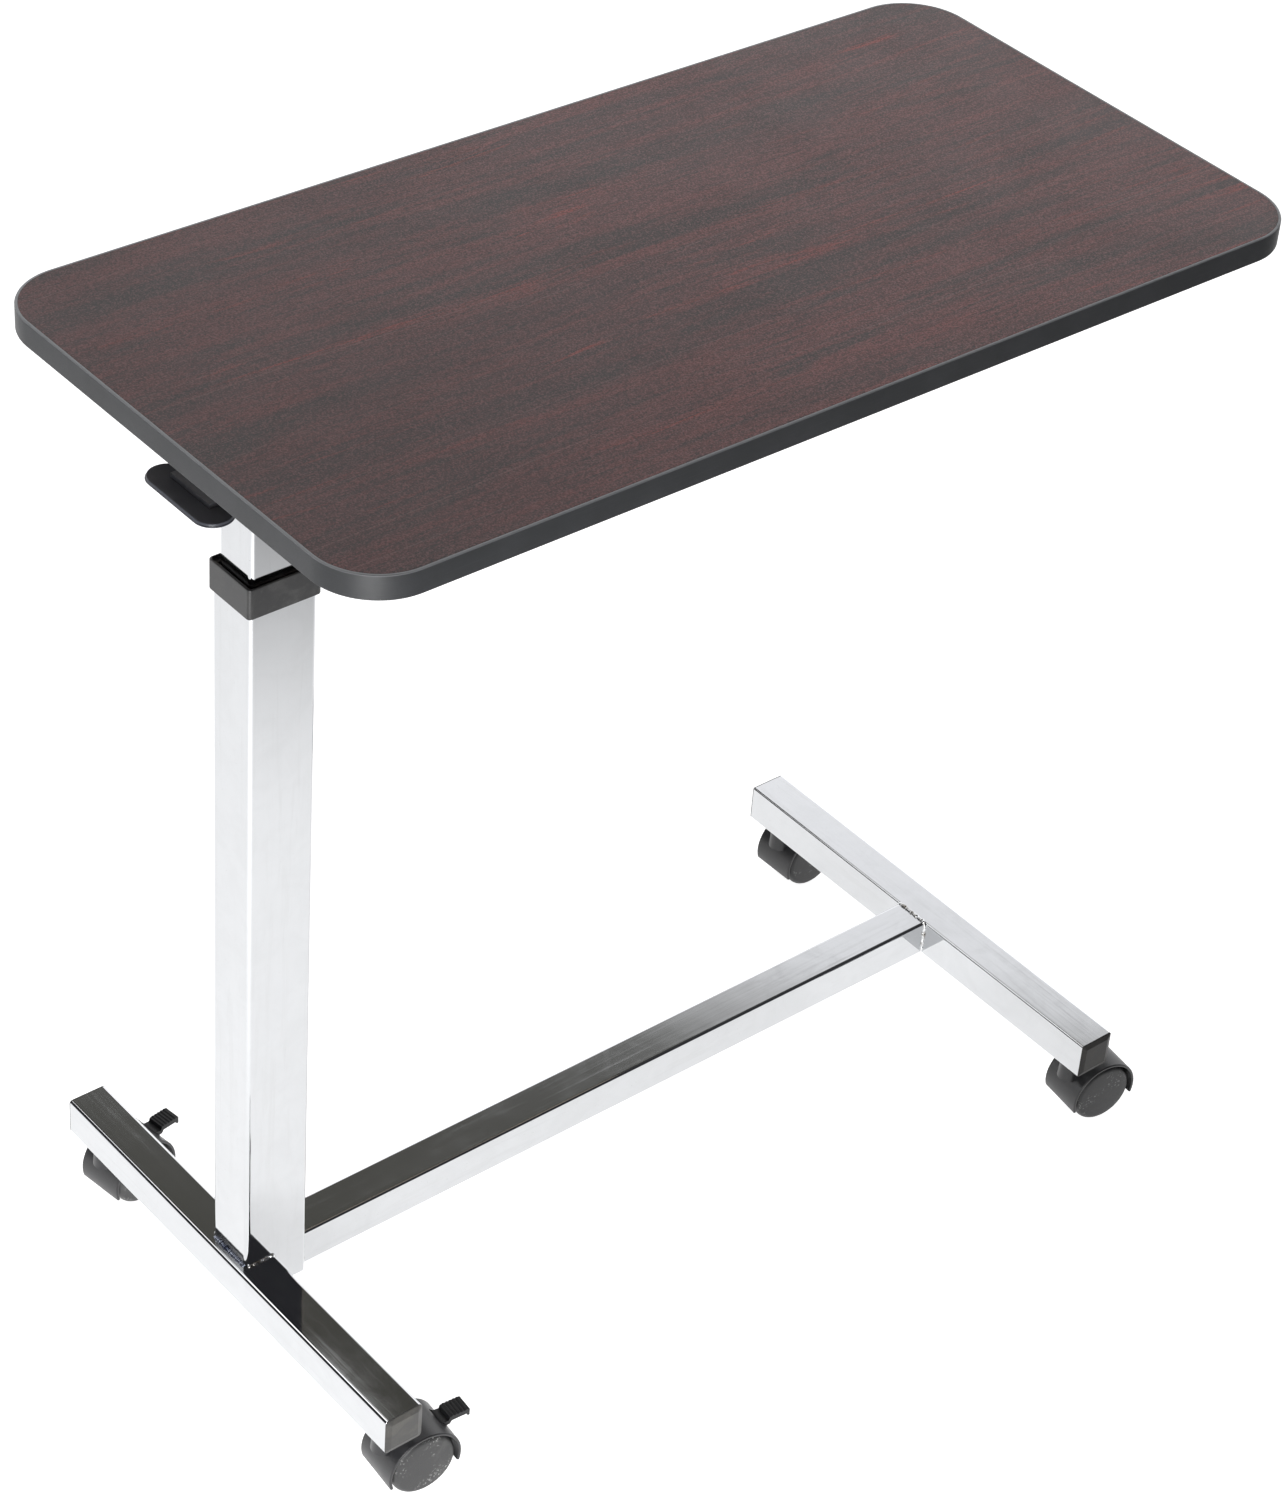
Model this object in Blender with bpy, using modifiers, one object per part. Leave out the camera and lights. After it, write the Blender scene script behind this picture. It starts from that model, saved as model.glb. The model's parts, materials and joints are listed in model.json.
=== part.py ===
"""Overbed table: wheeled H base, offset column, gas-spring mast and a laminated top.

Frame: the origin is on the floor under the centre of the tabletop, +X runs from the column
to the free end, +Y to the far side and +Z up. Every length is in metres. The mast stands at
the middle part of its travel, and every caster stands at a resting angle of its own.
"""

import math

import bmesh
import bpy
from mathutils import Matrix

# ---------------------------------------------------------------- driving dimensions
GAP = 0.0003                  # clearance between neighbouring solids

TOP_LENGTH = 0.762            # 30 inches
TOP_WIDTH = 0.381             # 15 inches
TOP_THICKNESS = 0.017
TOP_SURFACE_Z = 0.771
TOP_CORNER = 0.045
EDGE_BAND = 0.002
LAMINATE = 0.001

TUBE = 0.030                  # square tube of the base
WALL = 0.0015                 # wall of every steel tube
TUBE_CORNER = 0.002
FOOT_LENGTH = 0.380
FOOT_TOP_Z = 0.090
LEFT_FOOT_X = -0.326
RIGHT_FOOT_X = 0.316
CAP_FLANGE = 0.002
CAP_PLUG = 0.014

COLUMN_X = -0.309
COLUMN_SIZE = (0.050, 0.040)
COLUMN_TOP_Z = 0.6495
COLUMN_CORNER = 0.0025        # of the column and of the mast
MAST_SIZE = (0.044, 0.034)
MAST_BOTTOM_Z = 0.190
MAST_TOP_Z = 0.7497
COLLAR_SIZE = (0.0535, 0.0435)
COLLAR_CORNER = 0.0025
COLLAR_BOTTOM_Z = 0.634
COLLAR_TOP_Z = 0.656

CASTER_HEIGHT = 0.060         # floor to the underside of the foot
STEM_FROM_CENTRE = 0.169      # along Y
WHEEL_RADIUS = 0.0245
WHEEL_OFFSET = 0.0225         # swivel axis to axle
CASTER_WIDTH = 0.038
WEB = 0.005
HOOD_RADIUS = 0.0282
HOOD_WALL = 0.0022
HOOD_BELOW_AXLE = 0.008
AXLE_RADIUS = 0.003
STEM_RADIUS = 0.004
STEM_IN_HOOD = 0.022          # below the underside of the foot
PAST = 0.010                  # how far a cutter runs past the face it cuts

ANCHOR_Z = 0.115              # underside of the gas spring's anchor plate
ANCHOR_PLATE = 0.005
STUD_RADIUS = 0.004
CYLINDER_RADIUS = 0.011
CYLINDER_LENGTH = 0.470
ROD_RADIUS = 0.005
ROD_TOP_Z = 0.7245
PISTON_Z = 0.2255
HEAD_HEIGHT = 0.014

PIVOT_X = -0.322
PIVOT_Z = 0.7345
PADDLE_TOP_Z = 0.724
PADDLE_SIZE = (0.0265, 0.073, 0.003)
PADDLE_X = -0.3626
PADDLE_EDGE = 0.0008
ARM_THICKNESS = 0.003
ARM_PAST_MIDDLE = 0.009       # the arm's inner end, past the rod's axis
ARM_WIDE = 0.040
ARM_NARROW = 0.020
PIVOT_RADIUS = 0.0025
PIN_RADIUS = 0.0015
PIN_LENGTH = 0.022

RAIL_SIZE = (0.020, 0.016)    # width and height of the top's support rails
RAIL_Y = 0.065
RAIL_START_X = -0.352
RAIL_END_X = 0.250
RAIL_CORNER = 0.002
CROSS_TUBE_X = 0.190
SCREW_RADIUS = 0.0020
SCREW_XS = (-0.300, -0.050, 0.200)

ROUND_SEGMENTS = 24
CORNER_SEGMENTS = 10          # of each corner of the top

# ---------------------------------------------------------------- scene and materials
for old in list(bpy.data.objects):
    bpy.data.objects.remove(old)

TABLE = bpy.data.collections.new("overbed_table")
CUTTERS = bpy.data.collections.new("cutters")
bpy.context.scene.collection.children.link(TABLE)
bpy.context.scene.collection.children.link(CUTTERS)


def material(name, colour, roughness, metallic=0.0):
    """A Principled material from a linear colour."""
    made = bpy.data.materials.new(name)
    made.use_nodes = True
    shader = made.node_tree.nodes["Principled BSDF"]
    shader.inputs["Base Color"].default_value = (*colour, 1.0)
    shader.inputs["Roughness"].default_value = roughness
    shader.inputs["Metallic"].default_value = metallic
    return made


CHROME = material("chrome", (0.80, 0.81, 0.82), 0.08, 1.0)
STEEL = material("zinc_steel", (0.45, 0.46, 0.48), 0.35, 1.0)
FRAME_PAINT = material("frame_paint", (0.03, 0.03, 0.035), 0.45)
WOODGRAIN = material("woodgrain_laminate", (0.10, 0.045, 0.04), 0.45)
CHIPBOARD = material("chipboard", (0.35, 0.25, 0.16), 0.85)
EDGE_PVC = material("edge_band_pvc", (0.07, 0.075, 0.08), 0.45)
BLACK_NYLON = material("black_nylon", (0.02, 0.02, 0.022), 0.40)
GREY_NYLON = material("grey_nylon", (0.05, 0.05, 0.052), 0.45)
GLIDE_PLASTIC = material("glide_plastic", (0.70, 0.70, 0.68), 0.50)


# ---------------------------------------------------------------- modelling helpers
def add_object(name, mesh, finish, location, parent=None, rotation=(0.0, 0.0, 0.0)):
    """A named object of the table, placed in its parent's frame."""
    made = bpy.data.objects.new(name, mesh)
    made.location = location
    made.rotation_euler = rotation
    made.parent = parent
    if finish is None:
        made.hide_render = True
        made.display_type = 'WIRE'
        CUTTERS.objects.link(made)
    else:
        mesh.materials.append(finish)
        TABLE.objects.link(made)
    return made


def pivot(name, location, yaw=0.0, parent=None):
    """An empty on a joint's axis."""
    made = bpy.data.objects.new(name, None)
    made.location = location
    made.rotation_euler = (0.0, 0.0, yaw)
    made.parent = parent
    TABLE.objects.link(made)
    return made


def box(name, size, location, finish=None, parent=None, axis=None, radius=0.0, segments=2):
    """A box, with the edges along one axis rounded."""
    shape = bmesh.new()
    bmesh.ops.create_cube(shape, size=1.0)
    bmesh.ops.scale(shape, vec=size, verts=shape.verts)
    if axis is not None:
        def along(edge):
            run = edge.verts[1].co - edge.verts[0].co
            return abs(run[axis]) > 0.5 * size[axis]
        edges = [edge for edge in shape.edges if along(edge)]
        bmesh.ops.bevel(shape, geom=edges, offset=radius, segments=segments, profile=0.5,
                        affect='EDGES')
    mesh = bpy.data.meshes.new(name)
    shape.to_mesh(mesh)
    shape.free()
    return add_object(name, mesh, finish, location, parent)


def cylinder(name, radius, length, location, finish=None, parent=None, along='Z',
             segments=ROUND_SEGMENTS):
    """A round bar with its middle at the location."""
    shape = bmesh.new()
    bmesh.ops.create_cone(shape, cap_ends=True, segments=segments, radius1=radius,
                          radius2=radius, depth=length)
    if along == 'Y':
        turn = Matrix.Rotation(math.radians(90), 3, 'X')
        bmesh.ops.rotate(shape, cent=(0, 0, 0), matrix=turn, verts=shape.verts)
    mesh = bpy.data.meshes.new(name)
    shape.to_mesh(mesh)
    shape.free()
    mesh.shade_smooth()
    mesh.set_sharp_from_angle(angle=math.radians(35))
    return add_object(name, mesh, finish, location, parent)


def turned(name, profile, location, finish, parent=None, rotation=(0.0, 0.0, 0.0),
           closed=False, segments=ROUND_SEGMENTS):
    """A turned piece: a profile of (radius, height) points on a Screw modifier."""
    mesh = bpy.data.meshes.new(name)
    points = [(radius, 0.0, height) for radius, height in profile]
    edges = [(i, i + 1) for i in range(len(points) - 1)]
    if closed:
        edges.append((len(points) - 1, 0))
    mesh.from_pydata(points, edges, [])
    made = add_object(name, mesh, finish, location, parent, rotation)
    screw = made.modifiers.new("turn", 'SCREW')
    screw.axis = 'Z'
    screw.angle = math.radians(360)
    screw.steps = segments
    screw.render_steps = segments
    screw.use_merge_vertices = True
    screw.merge_threshold = 0.00001
    screw.use_normal_calculate = False
    return made


def extruded(name, outline, width, location, finish=None, parent=None, upright=True):
    """A flat outline given its thickness; upright, its points are (X, Z) and it is wide in Y."""
    curve = bpy.data.curves.new(name + "_outline", 'CURVE')
    curve.dimensions = '2D'
    curve.fill_mode = 'BOTH'
    curve.extrude = 0.5 * width
    spline = curve.splines.new('POLY')
    spline.points.add(len(outline) - 1)
    for point, (x, y) in zip(spline.points, outline):
        point.co = (x, y, 0.0, 1.0)
    spline.use_cyclic_u = True
    drawn = bpy.data.objects.new(name + "_outline", curve)
    CUTTERS.objects.link(drawn)
    bpy.context.view_layer.update()
    graph = bpy.context.evaluated_depsgraph_get()
    mesh = bpy.data.meshes.new_from_object(drawn.evaluated_get(graph))
    bpy.data.objects.remove(drawn)
    mesh.materials.clear()
    mesh.name = name
    shape = bmesh.new()
    shape.from_mesh(mesh)
    bmesh.ops.remove_doubles(shape, verts=shape.verts, dist=0.00001)
    if upright:
        turn = Matrix.Rotation(math.radians(90), 3, 'X')
        bmesh.ops.rotate(shape, cent=(0, 0, 0), matrix=turn, verts=shape.verts)
    bmesh.ops.recalc_face_normals(shape, faces=shape.faces)
    shape.to_mesh(mesh)
    shape.free()
    return add_object(name, mesh, finish, location, parent)


def arc(centre, radius, start, end, count):
    """Points of a round stretch, with its angles in degrees."""
    angles = [math.radians(start + (end - start) * i / count) for i in range(count + 1)]
    return [(centre[0] + radius * math.cos(a), centre[1] + radius * math.sin(a)) for a in angles]


def change(target, tool, operation):
    """A Boolean of a tool object on the target."""
    tool.hide_render = True
    tool.display_type = 'WIRE'
    modifier = target.modifiers.new(tool.name, 'BOOLEAN')
    modifier.operation = operation
    modifier.solver = 'EXACT'
    modifier.object = tool


def cut(target, tool):
    change(target, tool, 'DIFFERENCE')


def unite(target, tool):
    change(target, tool, 'UNION')


# ---------------------------------------------------------------- base
FOOT_Z = FOOT_TOP_Z - 0.5 * TUBE
COLUMN_BACK_X = COLUMN_X + 0.5 * COLUMN_SIZE[0]
STEM_TOP = 0.020              # stem above the underside of the foot
STEM_FLANGE = (0.009, 0.002)  # radius and thickness
BOSS_RADIUS = 0.0078
BOSS_LOW = -0.021             # from the underside of the foot


def square_tube(name, length, centre, along):
    """A chromed square tube, open at both ends, along X (0) or Y (1)."""
    outer = [TUBE, TUBE, TUBE]
    inner = [TUBE - 2 * WALL] * 3
    outer[along] = length
    inner[along] = length + 2 * PAST
    made = box(name, outer, centre, CHROME, axis=along, radius=TUBE_CORNER)
    cut(made, box(name + "_hollow", inner, centre))
    return made


def make_base():
    """Two feet, the crossbar between them and their end caps."""
    for name, x in (("foot_tube_column_side", LEFT_FOOT_X), ("foot_tube_free_side", RIGHT_FOOT_X)):
        foot = square_tube(name, FOOT_LENGTH, (x, 0, FOOT_Z), 1)
        for side in (-1, 1):
            label = "%s_stem_hole_%s" % (name, "near" if side < 0 else "far")
            cut(foot, cylinder(label, STEM_RADIUS + GAP, 0.010,
                               (x, side * STEM_FROM_CENTRE, FOOT_TOP_Z - TUBE)))
            make_end_cap(name, x, side)
    start = COLUMN_BACK_X + GAP
    end = RIGHT_FOOT_X - 0.5 * TUBE - GAP
    square_tube("crossbar_tube", end - start, (0.5 * (start + end), 0, FOOT_Z), 0)


def make_end_cap(foot, x, side):
    """A moulded cap: a flange on the tube's end and a plug inside it."""
    name = foot.replace("foot_tube", "end_cap") + ("_near" if side < 0 else "_far")
    end = 0.5 * FOOT_LENGTH + GAP
    flange = box(name, (TUBE, CAP_FLANGE - GAP, TUBE),
                 (x, side * (end + 0.5 * (CAP_FLANGE - GAP)), FOOT_Z), GREY_NYLON,
                 axis=1, radius=TUBE_CORNER)
    plug = TUBE - 2 * WALL - 2 * GAP
    inside_flange = 0.0005
    unite(flange, box(name + "_plug", (plug, CAP_PLUG, plug),
                      (x, side * (end - 0.5 * CAP_PLUG + inside_flange), FOOT_Z)))


def make_column():
    """The outer column. Its foot end is notched over the foot tube."""
    bottom = FOOT_TOP_Z - TUBE
    height = COLUMN_TOP_Z - bottom
    centre = (COLUMN_X, 0, bottom + 0.5 * height)
    column = box("column_tube", (*COLUMN_SIZE, height), centre, CHROME, axis=2,
                 radius=COLUMN_CORNER, segments=3)
    hollow = (COLUMN_SIZE[0] - 2 * WALL, COLUMN_SIZE[1] - 2 * WALL, height + 2 * PAST)
    cut(column, box("column_hollow", hollow, centre))
    notch_end = LEFT_FOOT_X + 0.5 * TUBE + GAP
    notch_start = COLUMN_X - 0.5 * COLUMN_SIZE[0] - PAST
    notch_top = FOOT_TOP_Z + GAP
    notch_bottom = bottom - PAST
    cut(column, box("column_notch",
                    (notch_end - notch_start, COLUMN_SIZE[1] + 2 * PAST, notch_top - notch_bottom),
                    (0.5 * (notch_start + notch_end), 0, 0.5 * (notch_top + notch_bottom))))


def make_collar():
    """The black collar over the column's top, and the glide bush inside the column."""
    height = COLLAR_TOP_Z - COLLAR_BOTTOM_Z
    recess = 0.0025
    socket_depth = 0.040
    well_lip = 0.001              # what the well is wider than the column, both sides together
    running_fit = 0.0012          # between mast and opening, both sides together
    collar = box("column_collar", (*COLLAR_SIZE, height),
                 (COLUMN_X, 0, COLLAR_BOTTOM_Z + 0.5 * height), BLACK_NYLON, axis=2,
                 radius=COLLAR_CORNER, segments=3)
    socket = (COLUMN_SIZE[0] + 2 * GAP, COLUMN_SIZE[1] + 2 * GAP, socket_depth)
    socket_z = COLUMN_TOP_Z + GAP - 0.5 * socket_depth
    cut(collar, box("collar_socket", socket, (COLUMN_X, 0, socket_z)))
    well = (COLUMN_SIZE[0] + well_lip, COLUMN_SIZE[1] + well_lip, PAST)
    cut(collar, box("collar_well", well, (COLUMN_X, 0, COLLAR_TOP_Z - recess + 0.5 * PAST)))
    opening = (MAST_SIZE[0] + running_fit, MAST_SIZE[1] + running_fit, 2 * height + PAST)
    cut(collar, box("collar_opening", opening, (COLUMN_X, 0, COLLAR_TOP_Z)))
    bush_height = 0.040
    sleeve("column_glide_bush", bush_height, COLUMN_TOP_Z - 0.5 * bush_height)


def sleeve(name, height, middle_z, parent=None, origin=(0, 0, 0)):
    """A thin plastic sleeve that fills the space between mast and column."""
    centre = (COLUMN_X - origin[0], 0, middle_z - origin[2])
    outer = (COLUMN_SIZE[0] - 2 * WALL - 2 * GAP, COLUMN_SIZE[1] - 2 * WALL - 2 * GAP, height)
    inner = (MAST_SIZE[0] + 2 * GAP, MAST_SIZE[1] + 2 * GAP, height + 2 * PAST)
    made = box(name, outer, centre, GLIDE_PLASTIC, parent=parent)
    cut(made, box(name + "_hollow", inner, centre, parent=parent))
    return made


# ---------------------------------------------------------------- gas spring
CYLINDER_BOTTOM_Z = ANCHOR_Z + ANCHOR_PLATE + GAP
CYLINDER_TOP_Z = CYLINDER_BOTTOM_Z + CYLINDER_LENGTH
CYLINDER_WALL = 0.0015
CYLINDER_FLOOR = 0.004
GUIDE_HEIGHT = 0.012
GUIDE_BELOW_TOP = 0.002
GAS_SEGMENTS = 20


def make_gas_spring():
    """The fixed half: anchor plate, nut, cylinder and rod guide."""
    plate = (COLUMN_SIZE[0] - 2 * WALL - 2 * GAP, COLUMN_SIZE[1] - 2 * WALL - 2 * GAP,
             ANCHOR_PLATE)
    anchor = box("gas_spring_anchor_plate", plate, (COLUMN_X, 0, ANCHOR_Z + 0.5 * ANCHOR_PLATE),
                 STEEL)
    cut(anchor, cylinder("anchor_hole", STUD_RADIUS + GAP, 2 * PAST, (COLUMN_X, 0, ANCHOR_Z)))
    nut_radius = 0.0075
    nut_height = 0.006
    nut = cylinder("gas_spring_anchor_nut", nut_radius, nut_height,
                   (COLUMN_X, 0, ANCHOR_Z - GAP - 0.5 * nut_height), STEEL, segments=6)
    cut(nut, cylinder("nut_hole", STUD_RADIUS + GAP, 2 * PAST, (COLUMN_X, 0, ANCHOR_Z)))
    stud = 0.016
    inner = CYLINDER_RADIUS - CYLINDER_WALL
    profile = [(0.0, CYLINDER_FLOOR), (inner, CYLINDER_FLOOR), (inner, CYLINDER_LENGTH),
               (CYLINDER_RADIUS, CYLINDER_LENGTH), (CYLINDER_RADIUS, 0.0), (STUD_RADIUS, 0.0),
               (STUD_RADIUS, -stud), (0.0, -stud)]
    turned("gas_spring_cylinder", profile, (COLUMN_X, 0, CYLINDER_BOTTOM_Z), FRAME_PAINT,
           segments=GAS_SEGMENTS)
    bore = ROD_RADIUS + GAP
    ring = [(bore, GUIDE_HEIGHT), (inner - GAP, GUIDE_HEIGHT), (inner - GAP, 0.0), (bore, 0.0)]
    turned("gas_spring_rod_guide", ring,
           (COLUMN_X, 0, CYLINDER_TOP_Z - GUIDE_BELOW_TOP - GUIDE_HEIGHT), BLACK_NYLON,
           closed=True, segments=GAS_SEGMENTS)


# ---------------------------------------------------------------- mast, head and support
SLOT_BOTTOM_Z = 0.726
SLOT_WIDTH = 0.024
PLATE_THICKNESS = 0.004
PLATE_LENGTH = 0.094
HEAD_BELOW_ROD = 0.002


def make_mast(mast):
    """The sliding mast and what is fixed to it, on the empty mast."""
    origin = mast.location
    middle = 0.5 * (MAST_BOTTOM_Z + MAST_TOP_Z)
    height = MAST_TOP_Z - MAST_BOTTOM_Z
    centre = (0, 0, middle - origin.z)
    tube = box("mast_tube", (*MAST_SIZE, height), centre, CHROME, parent=mast, axis=2,
               radius=COLUMN_CORNER, segments=3)
    hollow = (MAST_SIZE[0] - 2 * WALL, MAST_SIZE[1] - 2 * WALL, height + 2 * PAST)
    cut(tube, box("mast_hollow", hollow, centre, parent=mast))
    slot_height = 0.040
    cut(tube, box("mast_slot", (2 * PAST, SLOT_WIDTH, slot_height),
                  (-0.5 * MAST_SIZE[0], 0, SLOT_BOTTOM_Z + 0.5 * slot_height - origin.z),
                  parent=mast))
    pin_at = (PIVOT_X - origin.x, 0, PIVOT_Z - origin.z)
    cut(tube, cylinder("mast_pin_hole", PIVOT_RADIUS + GAP, MAST_SIZE[1] + 2 * PAST, pin_at,
                       parent=mast, along='Y', segments=16))
    make_mast_glide(mast, origin)
    head_z = ROD_TOP_Z - HEAD_BELOW_ROD - 0.5 * HEAD_HEIGHT - origin.z
    head = box("mast_head_block",
               (MAST_SIZE[0] - 2 * WALL - 2 * GAP, MAST_SIZE[1] - 2 * WALL - 2 * GAP, HEAD_HEIGHT),
               (0, 0, head_z), STEEL, parent=mast)
    cut(head, cylinder("head_hole", ROD_RADIUS + GAP, HEAD_HEIGHT + 2 * PAST, (0, 0, head_z),
                       parent=mast))
    make_rod(mast, origin)
    make_lever_pin(mast, pin_at)


def make_mast_glide(mast, origin):
    """A sleeve round the mast's foot, with a lip under the tube."""
    height = 0.034
    lip_height = 0.002
    lip_inset = 0.0006            # keeps the lip inside the sleeve's own outline
    glide = sleeve("mast_foot_glide", height, MAST_BOTTOM_Z - lip_height + 0.5 * height, mast,
                   origin)
    lip_z = MAST_BOTTOM_Z - 0.5 * lip_height - GAP - origin.z
    lip_size = [side - 2 * WALL - 2 * GAP - lip_inset for side in COLUMN_SIZE]
    lip = box("mast_glide_lip", (*lip_size, lip_height), (0, 0, lip_z), parent=mast)
    unite(glide, lip)
    opening = (0.034, 0.026)
    cut(glide, box("mast_glide_opening", (*opening, 2 * PAST), (0, 0, lip_z), parent=mast))


def make_rod(mast, origin):
    """The gas spring's rod with its valve bore, and the piston on it."""
    bore = PIN_RADIUS + GAP
    bore_depth = 0.020
    tenon = 0.0035                # radius of the rod inside the piston
    tenon_height = 0.010
    length = ROD_TOP_Z - PISTON_Z
    profile = [(0.0, length - bore_depth), (bore, length - bore_depth), (bore, length),
               (ROD_RADIUS, length), (ROD_RADIUS, tenon_height), (tenon, tenon_height),
               (tenon, 0.0), (0.0, 0.0)]
    turned("gas_spring_rod", profile, (0, 0, PISTON_Z - origin.z), CHROME, mast,
           segments=GAS_SEGMENTS)
    outer = CYLINDER_RADIUS - CYLINDER_WALL - GAP
    inner = tenon + GAP
    height = tenon_height - 0.0005
    ring = [(inner, height), (outer, height), (outer, 0.0), (inner, 0.0)]
    turned("gas_spring_piston", ring, (0, 0, PISTON_Z - origin.z), STEEL, mast, closed=True,
           segments=GAS_SEGMENTS)


def make_lever_pin(mast, pin_at):
    """The headed pin that the release lever turns on."""
    length = MAST_SIZE[1] + 0.003
    head_radius = 0.0045
    head_height = 0.002
    pin = cylinder("lever_pivot_pin", PIVOT_RADIUS, length, pin_at, STEEL, mast, 'Y', 16)
    head_y = -0.5 * MAST_SIZE[1] - GAP - 0.5 * head_height
    unite(pin, cylinder("lever_pin_head", head_radius, head_height,
                        (pin_at[0], head_y, pin_at[2]), None, mast, 'Y', 16))


def make_support(mast):
    """The plate on the mast, the two rails under the top and the tube that joins them."""
    origin = mast.location
    top = TOP_SURFACE_Z - TOP_THICKNESS - GAP - origin.z
    inner_y = RAIL_Y - 0.5 * RAIL_SIZE[0] - GAP
    box("mast_top_plate", (PLATE_LENGTH, 2 * inner_y, PLATE_THICKNESS),
        (0, 0, top - 0.5 * PLATE_THICKNESS), FRAME_PAINT, parent=mast)
    length = RAIL_END_X - RAIL_START_X
    rail_z = top - 0.5 * RAIL_SIZE[1]
    rail_x = 0.5 * (RAIL_END_X + RAIL_START_X) - origin.x
    for side, label in ((-1, "near"), (1, "far")):
        name = "support_rail_" + label
        centre = (rail_x, side * RAIL_Y, rail_z)
        rail = box(name, (length, RAIL_SIZE[0], RAIL_SIZE[1]), centre, FRAME_PAINT,
                   parent=mast, axis=0, radius=RAIL_CORNER)
        hollow = (length + 2 * PAST, RAIL_SIZE[0] - 2 * WALL, RAIL_SIZE[1] - 2 * WALL)
        cut(rail, box(name + "_hollow", hollow, centre, parent=mast))
        for number, x in enumerate(SCREW_XS, 1):
            at = (x - origin.x, side * RAIL_Y, rail_z)
            cut(rail, cylinder("%s_hole_%d" % (name, number), SCREW_RADIUS + GAP,
                               RAIL_SIZE[1] + 2 * PAST, at, parent=mast, segments=12))
            make_screw("top_screw_%s_%d" % (label, number), (at[0], at[1], top), mast)
    cross_x = CROSS_TUBE_X - origin.x
    cross = box("support_cross_tube", (RAIL_SIZE[0], 2 * inner_y, RAIL_SIZE[1]),
                (cross_x, 0, rail_z), FRAME_PAINT, parent=mast, axis=1, radius=RAIL_CORNER)
    cut(cross, box("support_cross_hollow",
                   (RAIL_SIZE[0] - 2 * WALL, 2 * (inner_y + PAST), RAIL_SIZE[1] - 2 * WALL),
                   (cross_x, 0, rail_z), parent=mast))


SCREW_REACH = 0.010           # into the board


def make_screw(name, top_of_rail, mast):
    """A pan head screw: its head under the rail, its shank up into the board."""
    head = 0.0042
    crown = 0.0026                # flat of the head's underside
    head_height = 0.0024
    head_z = -RAIL_SIZE[1] - GAP
    low = head_z - head_height
    profile = [(0.0, SCREW_REACH), (SCREW_RADIUS, SCREW_REACH - 0.002), (SCREW_RADIUS, head_z),
               (head, head_z), (head, head_z - 0.5 * head_height), (crown, low), (0.0, low)]
    turned(name, profile, top_of_rail, STEEL, mast, segments=12)


# ---------------------------------------------------------------- tabletop
def make_top(mast):
    """The chipboard core, its laminate face and the edge band round both."""
    origin = mast.location
    middle = (-origin.x, 0, TOP_SURFACE_Z - 0.5 * TOP_THICKNESS - origin.z)
    inset = 2 * (EDGE_BAND + GAP)
    inner_corner = TOP_CORNER - EDGE_BAND - GAP
    face = (TOP_LENGTH - inset, TOP_WIDTH - inset)
    band = box("tabletop_edge_band", (TOP_LENGTH, TOP_WIDTH, TOP_THICKNESS), middle, EDGE_PVC,
               mast, 2, TOP_CORNER, CORNER_SEGMENTS)
    inner = (TOP_LENGTH - 2 * EDGE_BAND, TOP_WIDTH - 2 * EDGE_BAND, TOP_THICKNESS + PAST)
    cut(band, box("edge_band_hollow", inner, middle, None, mast, 2, TOP_CORNER - EDGE_BAND,
                  CORNER_SEGMENTS))
    core_height = TOP_THICKNESS - LAMINATE - GAP
    core_z = TOP_SURFACE_Z - TOP_THICKNESS + 0.5 * core_height - origin.z
    core = box("tabletop_core", (*face, core_height), (middle[0], 0, core_z), CHIPBOARD, mast,
               2, inner_corner, CORNER_SEGMENTS)
    for side, label in ((-1, "near"), (1, "far")):
        for number, x in enumerate(SCREW_XS, 1):
            cut(core, cylinder("core_hole_%s_%d" % (label, number), SCREW_RADIUS + GAP,
                               2 * SCREW_REACH + 0.001, (x - origin.x, side * RAIL_Y,
                                TOP_SURFACE_Z - TOP_THICKNESS - origin.z),
                               parent=mast, segments=12))
    box("tabletop_laminate", (*face, LAMINATE),
        (middle[0], 0, TOP_SURFACE_Z - 0.5 * LAMINATE - origin.z), WOODGRAIN, mast, 2,
        inner_corner, CORNER_SEGMENTS)


# ---------------------------------------------------------------- release lever
PIN_DEPTH = 0.016             # of the valve pin in the rod
PIN_CLEARANCE = 0.0003        # between the valve pin and the lever's arm


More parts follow.
